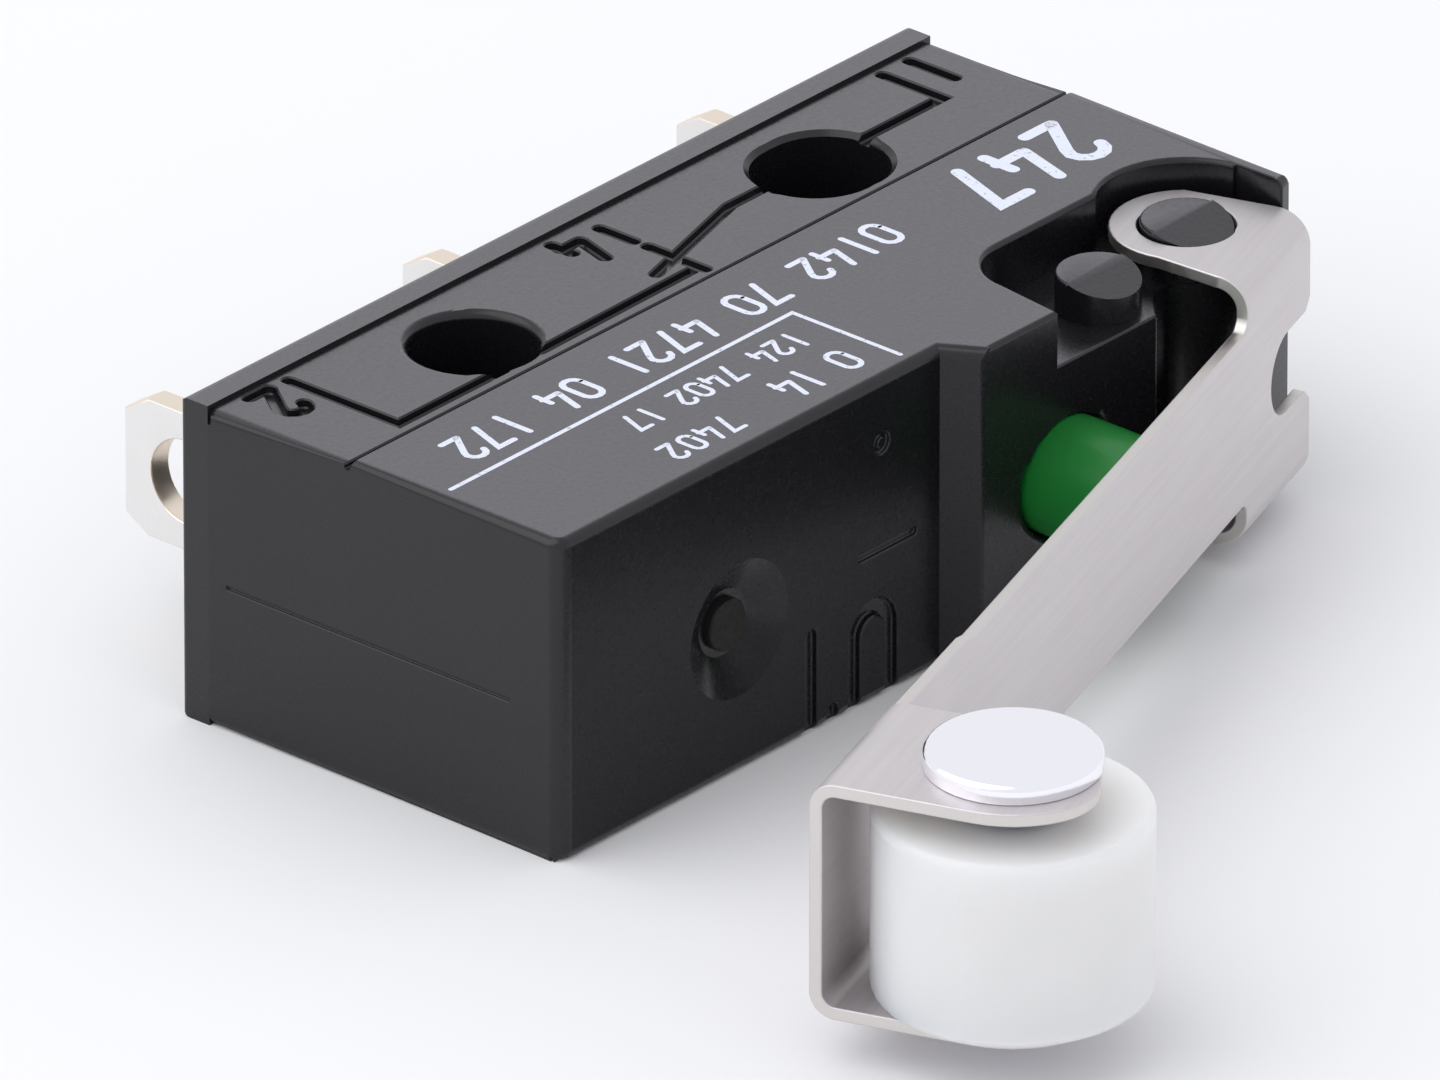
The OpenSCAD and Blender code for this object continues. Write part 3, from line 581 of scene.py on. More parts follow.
def arc(centre: Point, radius: float, start_deg: float, end_deg: float, steps: int = 6) -> Line:
    """Points along an arc.

    Args:
        centre: Middle of the arc.
        radius: Its radius.
        start_deg: Angle of its first point.
        end_deg: Angle of its last point.
        steps: Number of straight stretches.

    Returns:
        The points from start to end.
    """
    angles = [math.radians(start_deg + (end_deg - start_deg) * i / steps) for i in range(steps + 1)]
    return tuple((centre[0] + radius * math.cos(a), centre[1] + radius * math.sin(a)) for a in angles)


# Strokes of plain digits, in a cell half as wide as it is high.
DIGIT_STROKES: dict[str, tuple[Line, ...]] = {
    "0": (
        ((0.0, 0.28), (0.0, 0.72)) + arc((0.25, 0.75), 0.25, 170, 10) + arc((0.25, 0.25), 0.25, -10, -170),
    ),
    "1": (((0.25, 0.0), (0.25, 1.0)),),
    "2": (((0.5, 0.0), (0.0, 0.0)), ((0.0, 0.0), (0.44, 0.62)) + arc((0.25, 0.75), 0.25, 0, 170)),
    "4": (((0.5, 0.24), (0.0, 0.24)), ((0.0, 0.24), (0.22, 1.0)), ((0.46, 0.0), (0.46, 0.46))),
    "7": (((0.0, 1.0), (0.5, 1.0), (0.16, 0.0)),),
}


def digit_lines(character: str, foot: Point, right: Point, up: Point, height: float) -> list[Line]:
    """Place the strokes of a digit on a face.

    Args:
        character: The digit.
        foot: Its lower left corner, as it is read.
        right: Reading direction on the face.
        up: Direction to the digit's top on the face.
        height: Its height.

    Returns:
        The strokes as lines on the face.
    """
    return [
        tuple(
            (foot[0] + height * (x * right[0] + y * up[0]), foot[1] + height * (x * right[1] + y * up[1]))
            for x, y in stroke
        )
        for stroke in DIGIT_STROKES[character]
    ]


@dataclass
class CaseSigns:
    """The signs moulded into the case: terminal digits, contact diagram and tool marks."""

    band_z: float
    front_y: float
    end_x: float
    groove_w: float = 0.25
    groove_depth: float = 0.17
    digit_h: float = 1.05
    tool_mark_w: float = 0.3
    tool_mark_depth: float = 0.13
    # Each trough is larger than the one before by this share, so that no two share a face.
    spread_step: float = 0.006
    # Where each terminal digit starts on the top face: its left foot, read from the terminal side.
    digit_feet: dict[str, Point] = field(
        default_factory=lambda: {"2": (-3.78, 1.55), "4": (4.33, 1.5), "1": (14.02, 1.52)}
    )
    # Lines of the change-over contact diagram on the top face.
    diagram: tuple[Line, ...] = (
        ((-3.3, 1.5), (-3.3, -1.12), (-0.5, -1.12)),
        ((0.5, -1.12), (4.75, -1.06)),
        ((4.93, -0.66), (4.93, -1.2)),
        ((4.93, 1.3), (4.93, 0.5)),
        ((4.95, 0.16), (4.95, -0.34)),
        ((8.4, 0.13), (7.15, 0.13), (4.2, -0.68)),
        ((13.0, 1.52), (13.0, 0.1), (10.5, 0.1)),
    )
    # Marks of the tool's inserts at the foot of the front face.
    tool_marks: tuple[Line, ...] = (
        ((1.68, -0.1), (1.68, 1.9)),
        ((2.27, -0.1), (2.27, 0.2)),
        ((2.86, -0.1), (2.86, 1.34)) + arc((3.37, 1.36), 0.51, 170, 10, 8) + ((3.88, 1.34), (3.88, -0.1)),
    )
    # Plain grooves of the tool: face, line, width and depth.
    tool_grooves: tuple[Groove, ...] = (
        Groove(Face.TOP, ((-5.5, -1.52), (15.0, -1.52)), 0.13, 0.1),
        Groove(Face.END, ((1.8, 6.6), (1.8, 6.1)), 0.1, 0.06),
        Groove(Face.END, ((-5.3, 2.9), (1.35, 2.9)), 0.07, 0.05),
        Groove(Face.FRONT, ((3.04, 2.97), (4.5, 2.97)), 0.14, 0.08),
        Groove(Face.FRONT, arc((3.59, 5.09), 0.17, -10, 190), 0.09, 0.07),
        Groove(Face.FRONT, arc((3.59, 5.09), 0.17, 170, 370), 0.09, 0.07),
    )

    def grooves(self) -> list[Groove]:
        """Collect all grooves of the case.

        Returns:
            The grooves, face by face.
        """
        top = list(self.diagram)
        for character, foot in self.digit_feet.items():
            top += digit_lines(character, foot, (-1.0, 0.0), (0.0, -1.0), self.digit_h)
        return [
            *(Groove(Face.TOP, line, self.groove_w, self.groove_depth) for line in top),
            *(Groove(Face.FRONT, line, self.tool_mark_w, self.tool_mark_depth) for line in self.tool_marks),
            *self.tool_grooves,
        ]

    def to_face(self, face: Face) -> Matrix:
        """Map a point on a face, with its height over the face, to the shared frame in metres.

        Args:
            face: The face.

        Returns:
            A matrix for points given in millimetres as two places on the face and a height.
        """
        if face is Face.TOP:
            columns = ((1, 0, 0), (0, 1, 0), (0, 0, 1))
            origin = (0, 0, self.band_z)
        elif face is Face.FRONT:
            columns = ((1, 0, 0), (0, 0, 1), (0, -1, 0))
            origin = (0, self.front_y, 0)
        else:
            columns = ((0, 1, 0), (0, 0, 1), (-1, 0, 0))
            origin = (self.end_x, 0, 0)
        turn = Matrix(columns).transposed().to_4x4()
        return Matrix.Scale(MM, 4) @ Matrix.Translation(origin) @ turn

    def cutters(self) -> list[bpy.types.Object]:
        """Make one cutter for each groove.

        Returns:
            The cutters, which aren't part of the switch.
        """
        return [
            trough_cutter(groove, self.to_face(groove.face), 1 + self.spread_step * i)
            for i, groove in enumerate(self.grooves())
        ]


def offset_line(line: Line, radius: float, half_turn: int = 8) -> list[Point]:
    """Outline a line at a distance, with round ends and mitred corners.

    Args:
        line: Points of the line.
        radius: Distance of the outline.
        half_turn: Straight stretches in each round end.

    Returns:
        The points of the closed outline, against the clock.
    """
    headings = [math.atan2(b[1] - a[1], b[0] - a[0]) for a, b in zip(line, line[1:])]
    outline = []
    for points, turns in ((line, headings), (line[::-1], [h + math.pi for h in headings[::-1]])):
        for (x, y), before, after in zip(points[1:-1], turns, turns[1:]):
            swing = math.remainder(after - before, math.tau) / 2
            side = before + swing - math.pi / 2
            reach = radius / math.cos(swing)
            outline.append((x + reach * math.cos(side), y + reach * math.sin(side)))
        x, y = points[-1]
        first = turns[-1] - math.pi / 2
        for i in range(half_turn + 1):
            angle = first + math.pi * i / half_turn
            outline.append((x + radius * math.cos(angle), y + radius * math.sin(angle)))
    return outline


def trough_cutter(groove: Groove, place: Matrix, spread: float) -> bpy.types.Object:
    """Make the cutter of a round-ended trough with steep walls and a broken lip.

    Args:
        groove: Line, width and depth of the trough.
        place: Matrix from the face to the shared frame.
        spread: Factor that sets this trough a hair apart from those it meets, because cutters with faces
            in one place would leave slivers.

    Returns:
        The cutter, linked to the scene but not rendered.
    """
    half_w = spread * groove.width_mm / 2
    depth = spread * groove.depth_mm
    lip = min(groove.lip_mm, groove.lip_share * depth)
    levels = (
        (groove.proud_mm * spread, half_w + lip),
        (0.0, half_w + lip),
        (-lip, half_w),
        (-depth + lip, groove.taper * half_w),
        (-depth, groove.taper * half_w - lip),
    )
    mesh = bmesh.new()
    rings = [
        [mesh.verts.new(place @ Vector((x, y, height))) for x, y in offset_line(groove.line, radius)]
        for height, radius in levels
    ]
    for upper, lower in zip(rings, rings[1:]):
        for i, vert in enumerate(upper):
            following = (i + 1) % len(upper)
            mesh.faces.new((vert, lower[i], lower[following], upper[following]))
    mesh.faces.new(rings[0])
    mesh.faces.new(reversed(rings[-1]))
    bmesh.ops.recalc_face_normals(mesh, faces=mesh.faces)
    for face in mesh.faces:
        face.material_index = SIGN_SLOT
    made = linked_object("sign_cutter", mesh)
    for _ in range(SIGN_SLOT + 1):
        made.data.materials.append(None)
    made.hide_render = True
    return made


def linked_object(name: str, mesh: bmesh.types.BMesh) -> bpy.types.Object:
    """Turn an edit mesh to an object in the scene.

    Args:
        name: Name of the object.
        mesh: Its mesh, which is freed.

    Returns:
        The object.
    """
    data = bpy.data.meshes.new(name)
    mesh.to_mesh(data)
    mesh.free()
    made = bpy.data.objects.new(name, data)
    bpy.context.scene.collection.objects.link(made)
    return made


def clean_copy(node: str, name: str) -> bpy.types.Object:
    """Copy a CAD node as one closed mesh with whole faces.

    Args:
        node: The CAD node.
        name: Name of the copy.

    Returns:
        The copy, linked to the scene.
    """
    mesh = bmesh.new()
    mesh.from_mesh(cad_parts[node].data)
    bmesh.ops.remove_doubles(mesh, verts=mesh.verts, dist=WELD_MM * MM)
    bmesh.ops.dissolve_limit(mesh, angle_limit=math.radians(FLAT_DEG), verts=mesh.verts, edges=mesh.edges)
    return linked_object(name, mesh)


def cut_copy(blank: bpy.types.Object, cutters: list[bpy.types.Object], name: str) -> bpy.types.Object:
    """Cut a blank with one cutter after the other.

    Args:
        blank: The object to cut, which is used up.
        cutters: The cutters, which are used up too.
        name: Name of the result.

    Returns:
        The cut copy, linked to the scene and with no modifiers.
    """
    for cutter in cutters:
        cut = blank.modifiers.new("cut", "BOOLEAN")
        cut.operation = "DIFFERENCE"
        cut.solver = "EXACT"
        cut.object = cutter
    graph = bpy.context.evaluated_depsgraph_get()
    data = bpy.data.meshes.new_from_object(blank.evaluated_get(graph), depsgraph=graph)
    data.name = name
    made = bpy.data.objects.new(name, data)
    bpy.context.scene.collection.objects.link(made)
    for spent in (blank, *cutters):
        bpy.data.objects.remove(spent)
    return made


def round_edges(
    piece: bpy.types.Object,
    widths_mm: tuple[float, ...],
    segments: int = 3,
    chosen: Callable[[bmesh.types.BMEdge], bool] = lambda edge: True,
) -> None:
    """Round the sharp outer edges of a copied piece.

    Args:
        piece: The copy.
        widths_mm: Widths of the rounding, the widest first. Each edge gets the first one that has room.
        segments: Faces across the rounding.
        chosen: Tells which of the sharp edges to round.
    """
    mesh = bmesh.new()
    mesh.from_mesh(piece.data)
    for width in widths_mm:
        edges = [
            edge for edge in mesh.edges
            if is_sharp(edge) and room_beside(edge) > ROUNDING_ROOM * width * MM and chosen(edge)
        ]
        bmesh.ops.bevel(
            mesh, geom=edges, offset=width * MM, offset_type="OFFSET", segments=segments, profile=0.5,
            affect="EDGES", clamp_overlap=False, loop_slide=True,
        )
    for face in mesh.faces:
        face.smooth = True
    mesh.to_mesh(piece.data)
    mesh.free()


def room_beside(edge: bmesh.types.BMEdge) -> float:
    """Measure the room that the faces beside an edge leave for its rounding.

    Args:
        edge: The edge.

    Returns:
        Distance from the middle of the edge to the nearest outline that faces it across a face.
    """
    middle = (edge.verts[0].co + edge.verts[1].co) / 2
    room = math.inf
    for loop in edge.link_loops:
        inward = loop.face.normal.cross(loop.link_loop_next.vert.co - loop.vert.co).normalized()
        for other in loop.face.loops:
            start, end = other.vert.co, other.link_loop_next.vert.co
            if inward.dot(loop.face.normal.cross(end - start).normalized()) < OPPOSITE:
                along = intersect_point_line(middle, start, end)[1]
                room = min(room, (start.lerp(end, min(max(along, 0.0), 1.0)) - middle).length)
    return room


def mark_cuts(piece: bpy.types.Object, thickness_mm: float) -> None:
    """Give the second material number to the faces where stamping cut through a strip.

    Args:
        piece: A copied piece of strip with sharp edges.
        thickness_mm: Thickness of the strip.
    """
    mesh = bmesh.new()
    mesh.from_mesh(piece.data)
    least = math.radians(STAMPED_DEG)
    for face in mesh.faces:
        sharp = [edge for edge in face.edges if edge.is_manifold and edge.calc_face_angle() > least]
        outline = sum(edge.calc_length() for edge in sharp)
        face.material_index = int(2 * face.calc_area() < CUT_WIDTH_SLACK * thickness_mm * MM * outline)
    mesh.to_mesh(piece.data)
    mesh.free()


def height_of(face: bmesh.types.BMFace) -> float:
    """How far a face reaches along Z."""
    heights = [vert.co.z for vert in face.verts]
    return max(heights) - min(heights)


def is_sharp(edge: bmesh.types.BMEdge, least_deg: float = 35.0, graze_deg: float = 14.0) -> bool:
    """Tell whether an edge is sharp and can be rounded.

    Args:
        edge: The edge.
        least_deg: Flatter edges stay as they are.
        graze_deg: An edge stays sharp where its neighbour leaves it at a smaller angle than this, because
            the rounding would run far along that neighbour.

    Returns:
        True for an edge to round.
    """
    if not edge.is_manifold or not edge.is_convex or edge.calc_face_angle() < math.radians(least_deg):
        return False
    if any(face.material_index == SIGN_SLOT for face in edge.link_faces):
        return False
    for vert in edge.verts:
        away = edge.other_vert(vert).co - vert.co
        for loop in vert.link_loops:
            if loop.face not in edge.link_faces:
                continue
            for other in (loop.edge, loop.link_loop_prev.edge):
                if other is edge:
                    continue
                if away.angle(other.other_vert(vert).co - vert.co, math.pi) < math.radians(graze_deg):
                    return False
    return True


def even_shading(piece: bpy.types.Object, limit_deg: float = 35.0) -> None:
    """Shade roundings smoothly and keep flat walls flat, with larger faces leading.

    Args:
        piece: The piece whose corner normals are set.
        limit_deg: Faces that turn by more than this shade apart.
    """
    data = piece.data
    around: dict[int, list[bpy.types.MeshPolygon]] = {}
    for face in data.polygons:
        for vert in face.vertices:
            around.setdefault(vert, []).append(face)
    least = math.cos(math.radians(limit_deg))
    normals = []
    for face in data.polygons:
        for vert in face.vertices:
            near = [other for other in around[vert] if other.normal.dot(face.normal) > least]
            normals.append(sum((other.normal * other.area for other in near), Vector()).normalized())
    data.normals_split_custom_set(normals)


@dataclass(frozen=True)
class PrintRow:
    """A row of plain printed numbers on the top face, read from the terminal side."""

    digits: str
    foot: Point
    height_mm: float
    stroke_mm: float
    # Distance from one digit to the next, in digit heights.
    pitch: float = 0.85

    def lines(self) -> list[Line]:
        """Place the strokes of the row.

        Returns:
            The strokes as lines on the top face.
        """
        placed = []
        for i, character in enumerate(self.digits):
            if character in DIGIT_STROKES:
                foot = (self.foot[0] - i * self.pitch * self.height_mm, self.foot[1])
                placed += digit_lines(character, foot, (-1.0, 0.0), (0.0, -1.0), self.height_mm)
        return placed


class ShellSlot(Enum):
    """Finishes of the case shell, in the order of its material slots."""

    PLAIN = 0
    BROKEN_GATE = 1
    FRONT_WALL = 2


@dataclass
class Case:
    """The moulded case: housing with its signs, the base that closes the back, and the print."""

    # Rounding of the outline's upper and lower rim, of other edges on the broad faces, then of the rest.
    rim_mm: float = 0.2
    brim_mm: float = 0.1
    edges_mm: tuple[float, ...] = (0.06, 0.03)
    rim_segments: int = 5
    edge_segments: int = 4
    # Faces that turn by more than this shade apart, so that the gate's cone of 30 degrees stays crisp.
    shade_apart_deg: float = 27.0
    # The tops of the pegs slant, so that the upright part of their facing lies between these.
    peg_facing: Point = (0.9, 0.99)
    joint_y_mm: float = 1.8
    band_depth_mm: float = 0.08
    body_z_mm: float = 6.4
    front_y_mm: float = -6.55
    # Middles of the two holes, the room round them, and the least height of a wall of the outline.
    hole_x_mm: Point = (0.0, 9.5)
    hole_room_mm: float = 3.0
    wall_h_mm: float = 5.0
    # The stub of the broken gate on the front face: its middle, radius and reach in Y.
    stub_at_mm: Point = (-0.3, 2.85)
    stub_r_mm: float = 0.56
    stub_y_mm: Point = (-6.45, -6.16)
    # Thickness of the ink, and the share of it by which each stroke lies above the one before.
    ink_mm: float = 0.003
    ink_step: float = 0.01
    rule_w_mm: float = 0.1
    rules: tuple[Line, ...] = (((-4.78, -3.65), (4.5, -3.65), (4.5, -6.2)),)
    print_rows: tuple[PrintRow, ...] = (
        PrintRow("247", (13.35, -2.2), 1.48, 0.26, 0.8),
        PrintRow("0142 70 4721 04 172", (8.15, -2.38), 0.82, 0.13, 0.768),
        PrintRow("124 7402 17", (3.85, -4.12), 0.56, 0.095, 0.78),
        PrintRow("0 14", (3.85, -5.22), 0.72, 0.11, 0.68),
        PrintRow("7402", (0.55, -5.38), 0.58, 0.095, 0.84),
    )
    ink: PadPrint = PadPrint()
    plastic: MouldedThermoset = MouldedThermoset()
    # The base has the same moulded grain and is a shade greyer, so that the joint shows.
    base_plastic: MouldedThermoset = MouldedThermoset(
        name="thermoset_black_base_spark_eroded", colour="#19191a", flow_colour="#202021"
    )
    # The break shows the filler: rough and brownish, with no sheen.
    broken_gate: MouldedThermoset = MouldedThermoset(
        name="thermoset_black_gate_broken", colour="#0e0e0b", flow_colour="#171610", roughness=(0.6, 0.8),
        flow_mm=0.3, grain_mm=0.14, grain_depth_mm=0.012,
    )
    # The same plastic on the plain front wall, which mirrors darker surroundings in the photograph than the
    # pale floor gives here. Its index is matched to that look, below the plastic's own.
    front_plastic: MouldedThermoset = MouldedThermoset(name="thermoset_black_spark_eroded_front", ior=1.29)
    shell: bpy.types.Object = field(init=False)
    film: bpy.types.Object = field(init=False)

    def build(self) -> None:
        """Round the housing's edges, sink the signs into it and print it."""
        blank = clean_copy("housing", "case_blank")
        for _ in range(SIGN_SLOT + 1):
            blank.data.materials.append(None)
        round_edges(blank, (self.rim_mm,), self.rim_segments, self.is_rim)
        end_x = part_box("housing")[0].x / MM
        signs = CaseSigns(self.body_z_mm - self.band_depth_mm, self.front_y_mm, end_x)
        self.shell = cut_copy(blank, signs.cutters(), "case_shell")
        round_edges(self.shell, (self.brim_mm,), self.edge_segments, self.is_brim)
        round_edges(self.shell, self.edges_mm, self.edge_segments, self.is_free)
        even_shading(self.shell, self.shade_apart_deg)
        self.shell.data.materials.clear()
        for face in self.shell.data.polygons:
            face.material_index = self.slot_of(face).value
        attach(self.shell, "case")
        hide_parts("housing")
        self.film = self.print_marks()

    def slot_of(self, face: bpy.types.MeshPolygon) -> ShellSlot:
        """Tell which finish a face of the shell has.

        Args:
            face: The face.

        Returns:
            The finish's slot.
        """
        place = face.center / MM
        off_stub = math.hypot(place.x - self.stub_at_mm[0], place.z - self.stub_at_mm[1])
        if off_stub < self.stub_r_mm and self.stub_y_mm[0] < place.y < self.stub_y_mm[1]:
            return ShellSlot.BROKEN_GATE
        if abs(place.y - self.front_y_mm) < TOUCH_MM and face.normal.y < -ALONG:
            return ShellSlot.FRONT_WALL
        return ShellSlot.PLAIN

    def is_rim(self, edge: bmesh.types.BMEdge) -> bool:
        """Tell whether an edge is on the upper or lower rim of the outline, away from the holes.

        Args:
            edge: The edge.

        Returns:
            True for an edge of the rim.
        """
        upright = [face for face in edge.link_faces if abs(face.normal.z) < ACROSS]
        middle = (edge.verts[0].co + edge.verts[1].co) / 2 / MM
        beside_hole = any(math.hypot(middle.x - x, middle.y) < self.hole_room_mm for x in self.hole_x_mm)
        tall = all(height_of(face) > self.wall_h_mm * MM for face in upright)
        return len(upright) == 1 and tall and not beside_hole and self.is_open(edge)

    def is_brim(self, edge: bmesh.types.BMEdge) -> bool:
        """Tell whether an edge lies in the upper or lower broad face.

        Args:
            edge: The edge.

        Returns:
            True for an edge in a broad face, off the joint.
        """
        heights = [vert.co.z / MM for vert in edge.verts]
        return self.is_open(edge) and any(
            all(abs(height - broad_z) < TOUCH_MM for height in heights) for broad_z in (0.0, self.body_z_mm)
        )

    def is_open(self, edge: bmesh.types.BMEdge) -> bool:
        """Tell whether an edge is off the joint, where the two mouldings close up and stay sharp."""
        return any(abs(vert.co.y / MM - self.joint_y_mm) > TOUCH_MM for vert in edge.verts)

    def is_free(self, edge: bmesh.types.BMEdge) -> bool:
        """Tell whether an edge is off the joint and off the slanted pegs, whose edges are crisp."""
        low, high = self.peg_facing
        return self.is_open(edge) and all(not low < abs(face.normal.z) < high for face in edge.link_faces)

    def print_marks(self) -> bpy.types.Object:
        """Lay the printed rule and the plain numbers on the top face.

        Returns:
            The film of ink.
        """
        lines = [(line, self.rule_w_mm) for line in self.rules]
        for row in self.print_rows:
            lines += [(line, row.stroke_mm) for line in row.lines()]
        mesh = bmesh.new()
        for i, (line, width) in enumerate(lines):
            top = self.body_z_mm + self.ink_mm * (1 + self.ink_step * i)
            outline = offset_line(line, width / 2)
            upper = [mesh.verts.new(Vector((x, y, top)) * MM) for x, y in outline]
            lower = [mesh.verts.new(Vector((x, y, self.body_z_mm - self.ink_mm)) * MM) for x, y in outline]
            mesh.faces.new(upper)
            mesh.faces.new(reversed(lower))
            for k, vert in enumerate(lower):
                following = (k + 1) % len(lower)
                mesh.faces.new((vert, lower[following], upper[following], upper[k]))
        made = linked_object("case_print", mesh)
        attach(made, "case")
        return made

    def dress(self) -> None:
        """Finish both mouldings and the print."""
        dress(self.shell, self.plastic, self.broken_gate, self.front_plastic)
        dress(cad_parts["terminal_base"], self.base_plastic)
        dress(self.film, self.ink)


@dataclass
class Terminals:
    """Three solder tags and the fixed contacts on their inner ends."""

    edge_mm: float = 0.035
    tags: tuple[str, ...] = ("common_terminal", "normally_closed_terminal", "normally_open_terminal")
    contacts: tuple[str, ...] = ("normally_closed_contact", "normally_open_contact")
    plated: PlatedBlank = PlatedBlank()
    # Gold clad on silver is a warm yellow with a soft mirror.
    contact_metal: BrightMetal = BrightMetal(
        name="silver_gold_clad", colour="#e6c987", roughness=(0.15, 0.3), peel_mm=0.15
    )

    def build(self) -> None:
        """Break the stamped edges of the tags."""
        for name in self.tags:
            soften(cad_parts[name], self.edge_mm)

    def dress(self) -> None:
        """Finish the tags and the contacts."""
        for name in self.tags:
            dress(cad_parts[name], self.plated)
        for name in self.contacts:
            dress(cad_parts[name], self.contact_metal)


@dataclass
class SnapMechanism:
    """The moving pieces inside: rocker, contact arm with its two contacts, and the coil spring."""

    # Undyed polyamide is cream, and the light that enters it softens its edges.
    rocker_plastic: MouldedThermoplastic = MouldedThermoplastic(
        name="polyamide_natural_moulded", colour="#e5decd", shade_colour="#d9d1bf", depth_mm=0.4, scatter=0.3
    )
    # A copper alloy is a warm brown under the same streaks.
    arm_metal: RolledStrip = RolledStrip(
        name="copper_alloy_strip_rolled", colour="#c98f5a", streak_colour="#b67d4b", direction_deg=-4.0
    )
    # Drawn wire is a mid grey with a soft mirror.
    wire: BrightMetal = BrightMetal(
        name="spring_steel_wire_drawn", colour="#b9bbc0", roughness=(0.18, 0.32), peel_mm=0.08
    )

    def dress(self, contact_metal: BrightMetal) -> None:
        """Finish the inner pieces.

        Args:
            contact_metal: Finish of the contacts, as on the terminals.
        """
        dress(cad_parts["rocker"], self.rocker_plastic)
        dress(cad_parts["contact_arm"], self.arm_metal)
        dress(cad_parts["snap_spring"], self.wire)
        for name in ("moving_contact_front", "moving_contact_back"):
            dress(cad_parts[name], contact_metal)


@dataclass
class Plunger:
    """The green plunger between the snap mechanism and the lever."""

    # Dyed polyamide is a deep green with a smooth sheen, and light comes back green from below its skin.
    plastic: MouldedThermoplastic = MouldedThermoplastic(
        name="polyamide_green_moulded", colour="#1f7f33", shade_colour="#1b7430", depth_mm=0.25, scatter=0.2,
        scatter_tint=(0.5, 1.0, 0.5), roughness=(0.25, 0.36),
    )

    def dress(self) -> None:
        """Finish the plunger."""
        dress(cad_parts["plunger"], self.plastic)


@dataclass
class RollerLever:
    """The lever of stamped strip with its roller and the riveted axle."""

    lever_edges_mm: tuple[float, ...] = (0.035,)
    strip_mm: float = 0.25
    # The cheeks end close round the rivet head: their radius there, and the middle of their outer corner.
    # Both arcs are given by their first and last angle from the arm's direction.
    cheek_r_mm: float = 1.57
    cheek_arc_deg: Point = (155, 99)
    cheek_corner_mm: Point = (0.47, 0.5)
    corner_arc_deg: Point = (124, 48)
    # Radius of the cheeks in the frame, and the trimmer's reach in such radii.
    cheek_blank_r_mm: float = 1.95
    trim_reach: float = 1.3
    # Its far corner as a share of the reach, its near corner as one of the cheek's radius, and its overhang.
    trim_far: float = 0.9
    trim_near: float = 0.42
    trim_over_mm: float = 1.0
    axle_edge_mm: float = 0.03
    strip: RolledStrip = RolledStrip(direction_deg=18.7)
    # The cut face has no rolling streaks, and is a touch warmer and smoother than the rolled face.
    cut: BrightMetal = BrightMetal(
        name="stainless_strip_sheared", colour="#d9d5d1", roughness=(0.34, 0.46), smudge_mm=0.3, peel_mm=0.1
    )
    rivet: BrightMetal = BrightMetal()
    # Acetal is milky: light goes deep into it, so that its shaded side stays pale.
    roller_plastic: MouldedThermoplastic = MouldedThermoplastic(
        name="acetal_white_moulded", colour="#e6e5e3", shade_colour="#e0dfde", depth_mm=3.4, scatter=1.0,
        scatter_tint=(1.0, 0.9, 0.78),
    )
    lever: bpy.types.Object = field(init=False)

    def build(self) -> None:
        """Trim the cheeks, then break the edges of the strip and of the rivet."""
        blank = clean_copy("lever", "lever_blank")
        self.lever = cut_copy(blank, [self.cheek_trimmer()], "lever_strip")
        mark_cuts(self.lever, self.strip_mm)
        round_edges(self.lever, self.lever_edges_mm)
        even_shading(self.lever)
        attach(self.lever, "roller_lever")
        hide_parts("lever")
        soften(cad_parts["roller_axle"], self.axle_edge_mm)

    def cheek_trimmer(self) -> bpy.types.Object:
        """Make the cutter that brings the ends of both cheeks close to the rivet head.

        Returns:
            An upright prism beside the axle, which isn't part of the switch.
        """
        low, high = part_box("roller_axle")
        turn = Matrix.Rotation(math.radians(180 + self.strip.direction_deg), 4, "Z")
        place = Matrix.Translation((low + high) / 2) @ turn @ Matrix.Scale(MM, 4)
        corner_r = self.cheek_blank_r_mm - math.hypot(*self.cheek_corner_mm)
        clear = self.trim_reach * self.cheek_blank_r_mm
        outline = (
            arc((0.0, 0.0), self.cheek_r_mm, *self.cheek_arc_deg, steps=12)
            + arc(self.cheek_corner_mm, corner_r, *self.corner_arc_deg, steps=16)
            + ((self.trim_far * clear, clear), (-clear, clear), (-clear, self.trim_near * self.cheek_r_mm))
        )
        top = clear + self.trim_over_mm
        mesh = bmesh.new()
        ends = [[mesh.verts.new(place @ Vector((x, y, z))) for x, y in outline] for z in (-top, top)]
        mesh.faces.new(ends[0])
        mesh.faces.new(ends[1])
        for i, vert in enumerate(ends[0]):
            following = (i + 1) % len(outline)
            mesh.faces.new((vert, ends[0][following], ends[1][following], ends[1][i]))
        bmesh.ops.recalc_face_normals(mesh, faces=mesh.faces)
        made = linked_object("cheek_trimmer", mesh)
        made.hide_render = True
        return made

    def dress(self) -> None:
        """Finish the lever, the axle and the roller."""
        dress(self.lever, self.strip, self.cut)
        dress(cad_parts["roller_axle"], self.rivet)
        dress(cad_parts["roller"], self.roller_plastic)


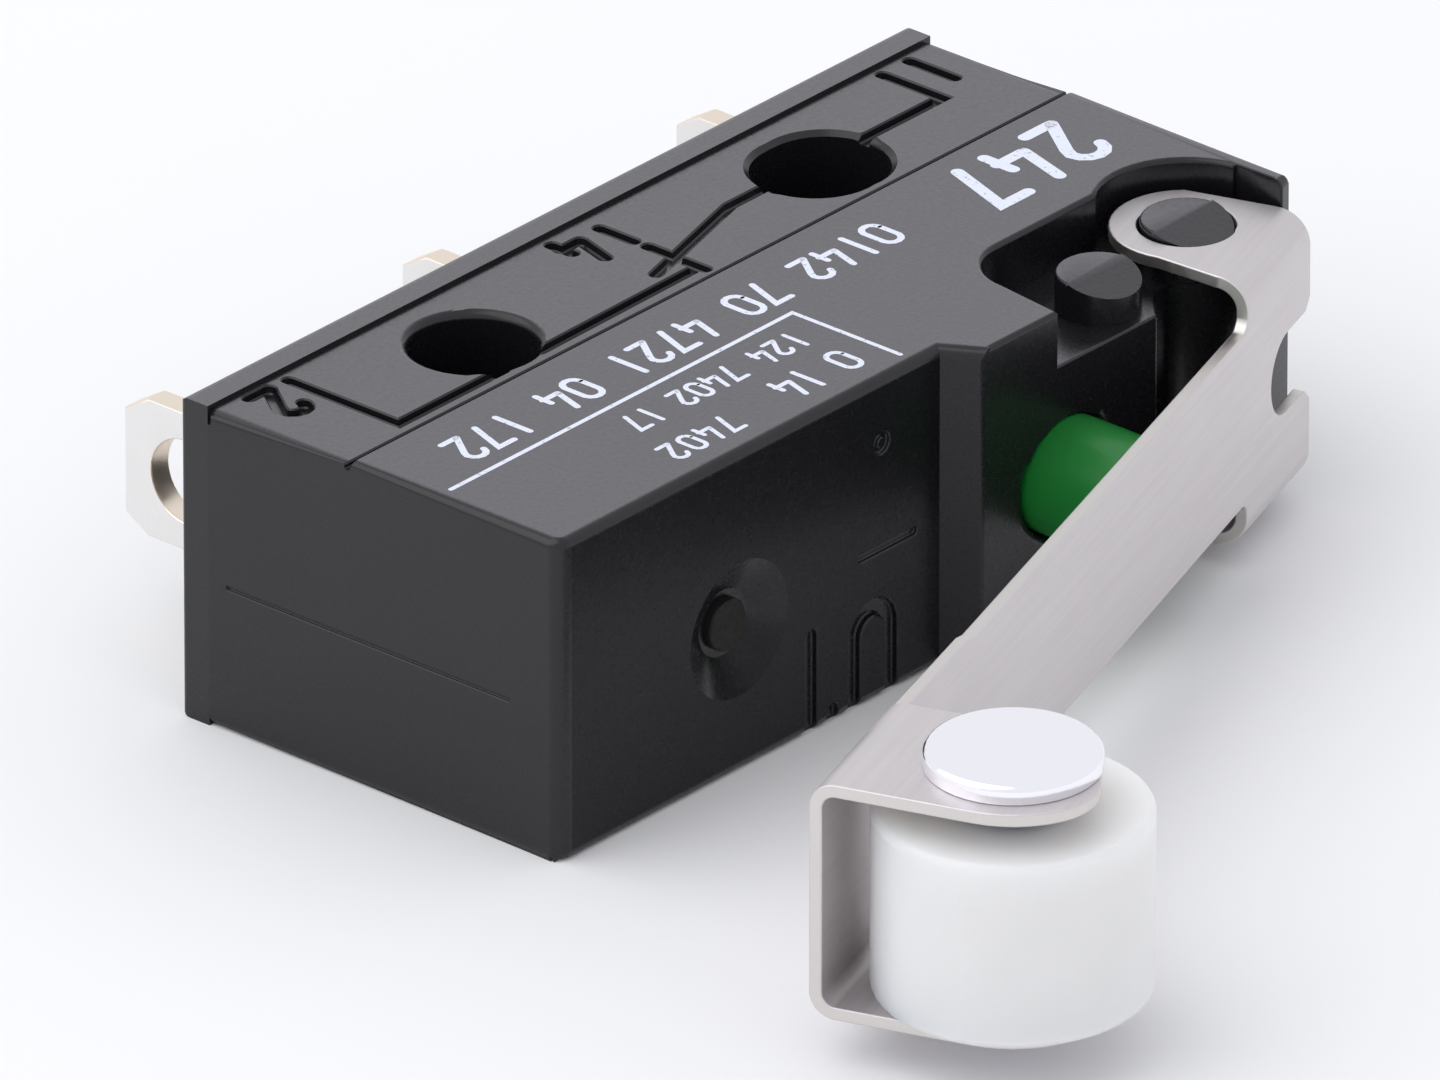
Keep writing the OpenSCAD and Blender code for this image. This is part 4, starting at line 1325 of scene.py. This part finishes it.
@dataclass(frozen=True)
class SoftBox:
    """A soft studio light: where it stands, what it faces and how large and strong it is."""

    name: str
    place: tuple[float, float, float]
    aim: tuple[float, float, float]
    size: tuple[float, float]
    watts: float
    colour: str = "#ffffff"
    # Pieces that a masked light is let through to, or none for a light that reaches everything.
    lights_only: tuple[str, ...] = ()

    def build(self) -> None:
        """Add the light to the scene."""
        data = bpy.data.lights.new(self.name, "AREA")
        data.shape = "RECTANGLE"
        data.size = self.size[0] * MM
        data.size_y = self.size[1] * MM
        data.energy = self.watts
        data.color = linear(self.colour)[:3]
        lamp = bpy.data.objects.new(self.name, data)
        lamp.location = Vector(self.place) * MM
        aim = (Vector(self.aim) - Vector(self.place)).normalized()
        lamp.rotation_euler = aim.to_track_quat("-Z", "Y").to_euler()
        bpy.context.scene.collection.objects.link(lamp)
        if self.lights_only:
            lit = bpy.data.collections.new(self.name)
            for name in self.lights_only:
                lit.objects.link(bpy.data.objects[name])
            lamp.light_linking.receiver_collection = lit


@dataclass
class Studio:
    """Pale floor, soft light from all sides and the camera at the photograph's angle."""

    floor_mm: float = 4000.0
    sky_colour: str = "#f6f7fb"
    sky_strength: float = 0.94
    # The camera stands far away with a long lens, so that parallel edges stay nearly parallel.
    azimuth_deg: float = -49.106
    elevation_deg: float = 26.907
    distance_mm: float = 715.5
    aim: tuple[float, float, float] = (1.4375, -4.5875, 3.3194)
    lens_mm: float = 1000.0
    sensor_mm: float = 36.0
    clip_m: Point = (0.01, 20.0)
    lights: tuple[SoftBox, ...] = (
        SoftBox("key_softbox", (-170, 130, 300), (2, -6, 3), (420, 420), 0.62),
        SoftBox(
            "sheen_softbox", (275, 235, 190), (2, -6, 3), (300, 220), 0.22,
            colour="#f3f1ff", lights_only=("case_shell", "terminal_base", "case_print"),
        ),
    )

    def build(self) -> None:
        """Set up floor, lights, surroundings and camera."""
        self.add_floor()
        for light in self.lights:
            light.build()
        self.add_sky()
        self.add_camera()
        view = bpy.context.scene.view_settings
        view.view_transform = "Standard"

    def add_floor(self) -> None:
        """Add the board that the switch lies on."""
        mesh = bmesh.new()
        bmesh.ops.create_grid(mesh, x_segments=2, y_segments=2, size=self.floor_mm * MM / 2)
        floor = linked_object("floor", mesh)
        dress(floor, PaintedBoard())

    def add_sky(self) -> None:
        """Light the scene evenly from all round."""
        world = bpy.data.worlds.new("studio")
        bpy.context.scene.world = world
        world.use_nodes = True
        tree = world.node_tree
        tree.nodes.clear()
        glow = add_node(
            tree, "ShaderNodeBackground",
            values={"Color": linear(self.sky_colour), "Strength": self.sky_strength},
        )
        add_node(tree, "ShaderNodeOutputWorld", links={"Surface": glow.outputs[0]})

    def add_camera(self) -> None:
        """Add the camera at the photograph's angle."""
        azimuth = math.radians(self.azimuth_deg)
        elevation = math.radians(self.elevation_deg)
        back = Vector((
            math.sin(azimuth) * math.cos(elevation),
            -math.cos(azimuth) * math.cos(elevation),
            math.sin(elevation),
        ))
        data = bpy.data.cameras.new("photo_camera")
        data.sensor_fit = "HORIZONTAL"
        data.sensor_width = self.sensor_mm
        data.lens = self.lens_mm
        data.clip_start, data.clip_end = self.clip_m
        camera = bpy.data.objects.new("photo_camera", data)
        camera.location = (Vector(self.aim) + back * self.distance_mm) * MM
        camera.rotation_euler = (-back).to_track_quat("-Z", "Y").to_euler()
        bpy.context.scene.collection.objects.link(camera)
        bpy.context.scene.camera = camera


def main() -> None:
    """Build and dress the switch, then set up the studio."""
    logging.basicConfig(level=logging.INFO, format="%(name)s: %(message)s")
    case = Case()
    case.build()
    case.dress()
    terminals = Terminals()
    terminals.build()
    terminals.dress()
    SnapMechanism().dress(terminals.contact_metal)
    Plunger().dress()
    lever = RollerLever()
    lever.build()
    lever.dress()
    Studio().build()


if __name__ == "__main__":
    main()
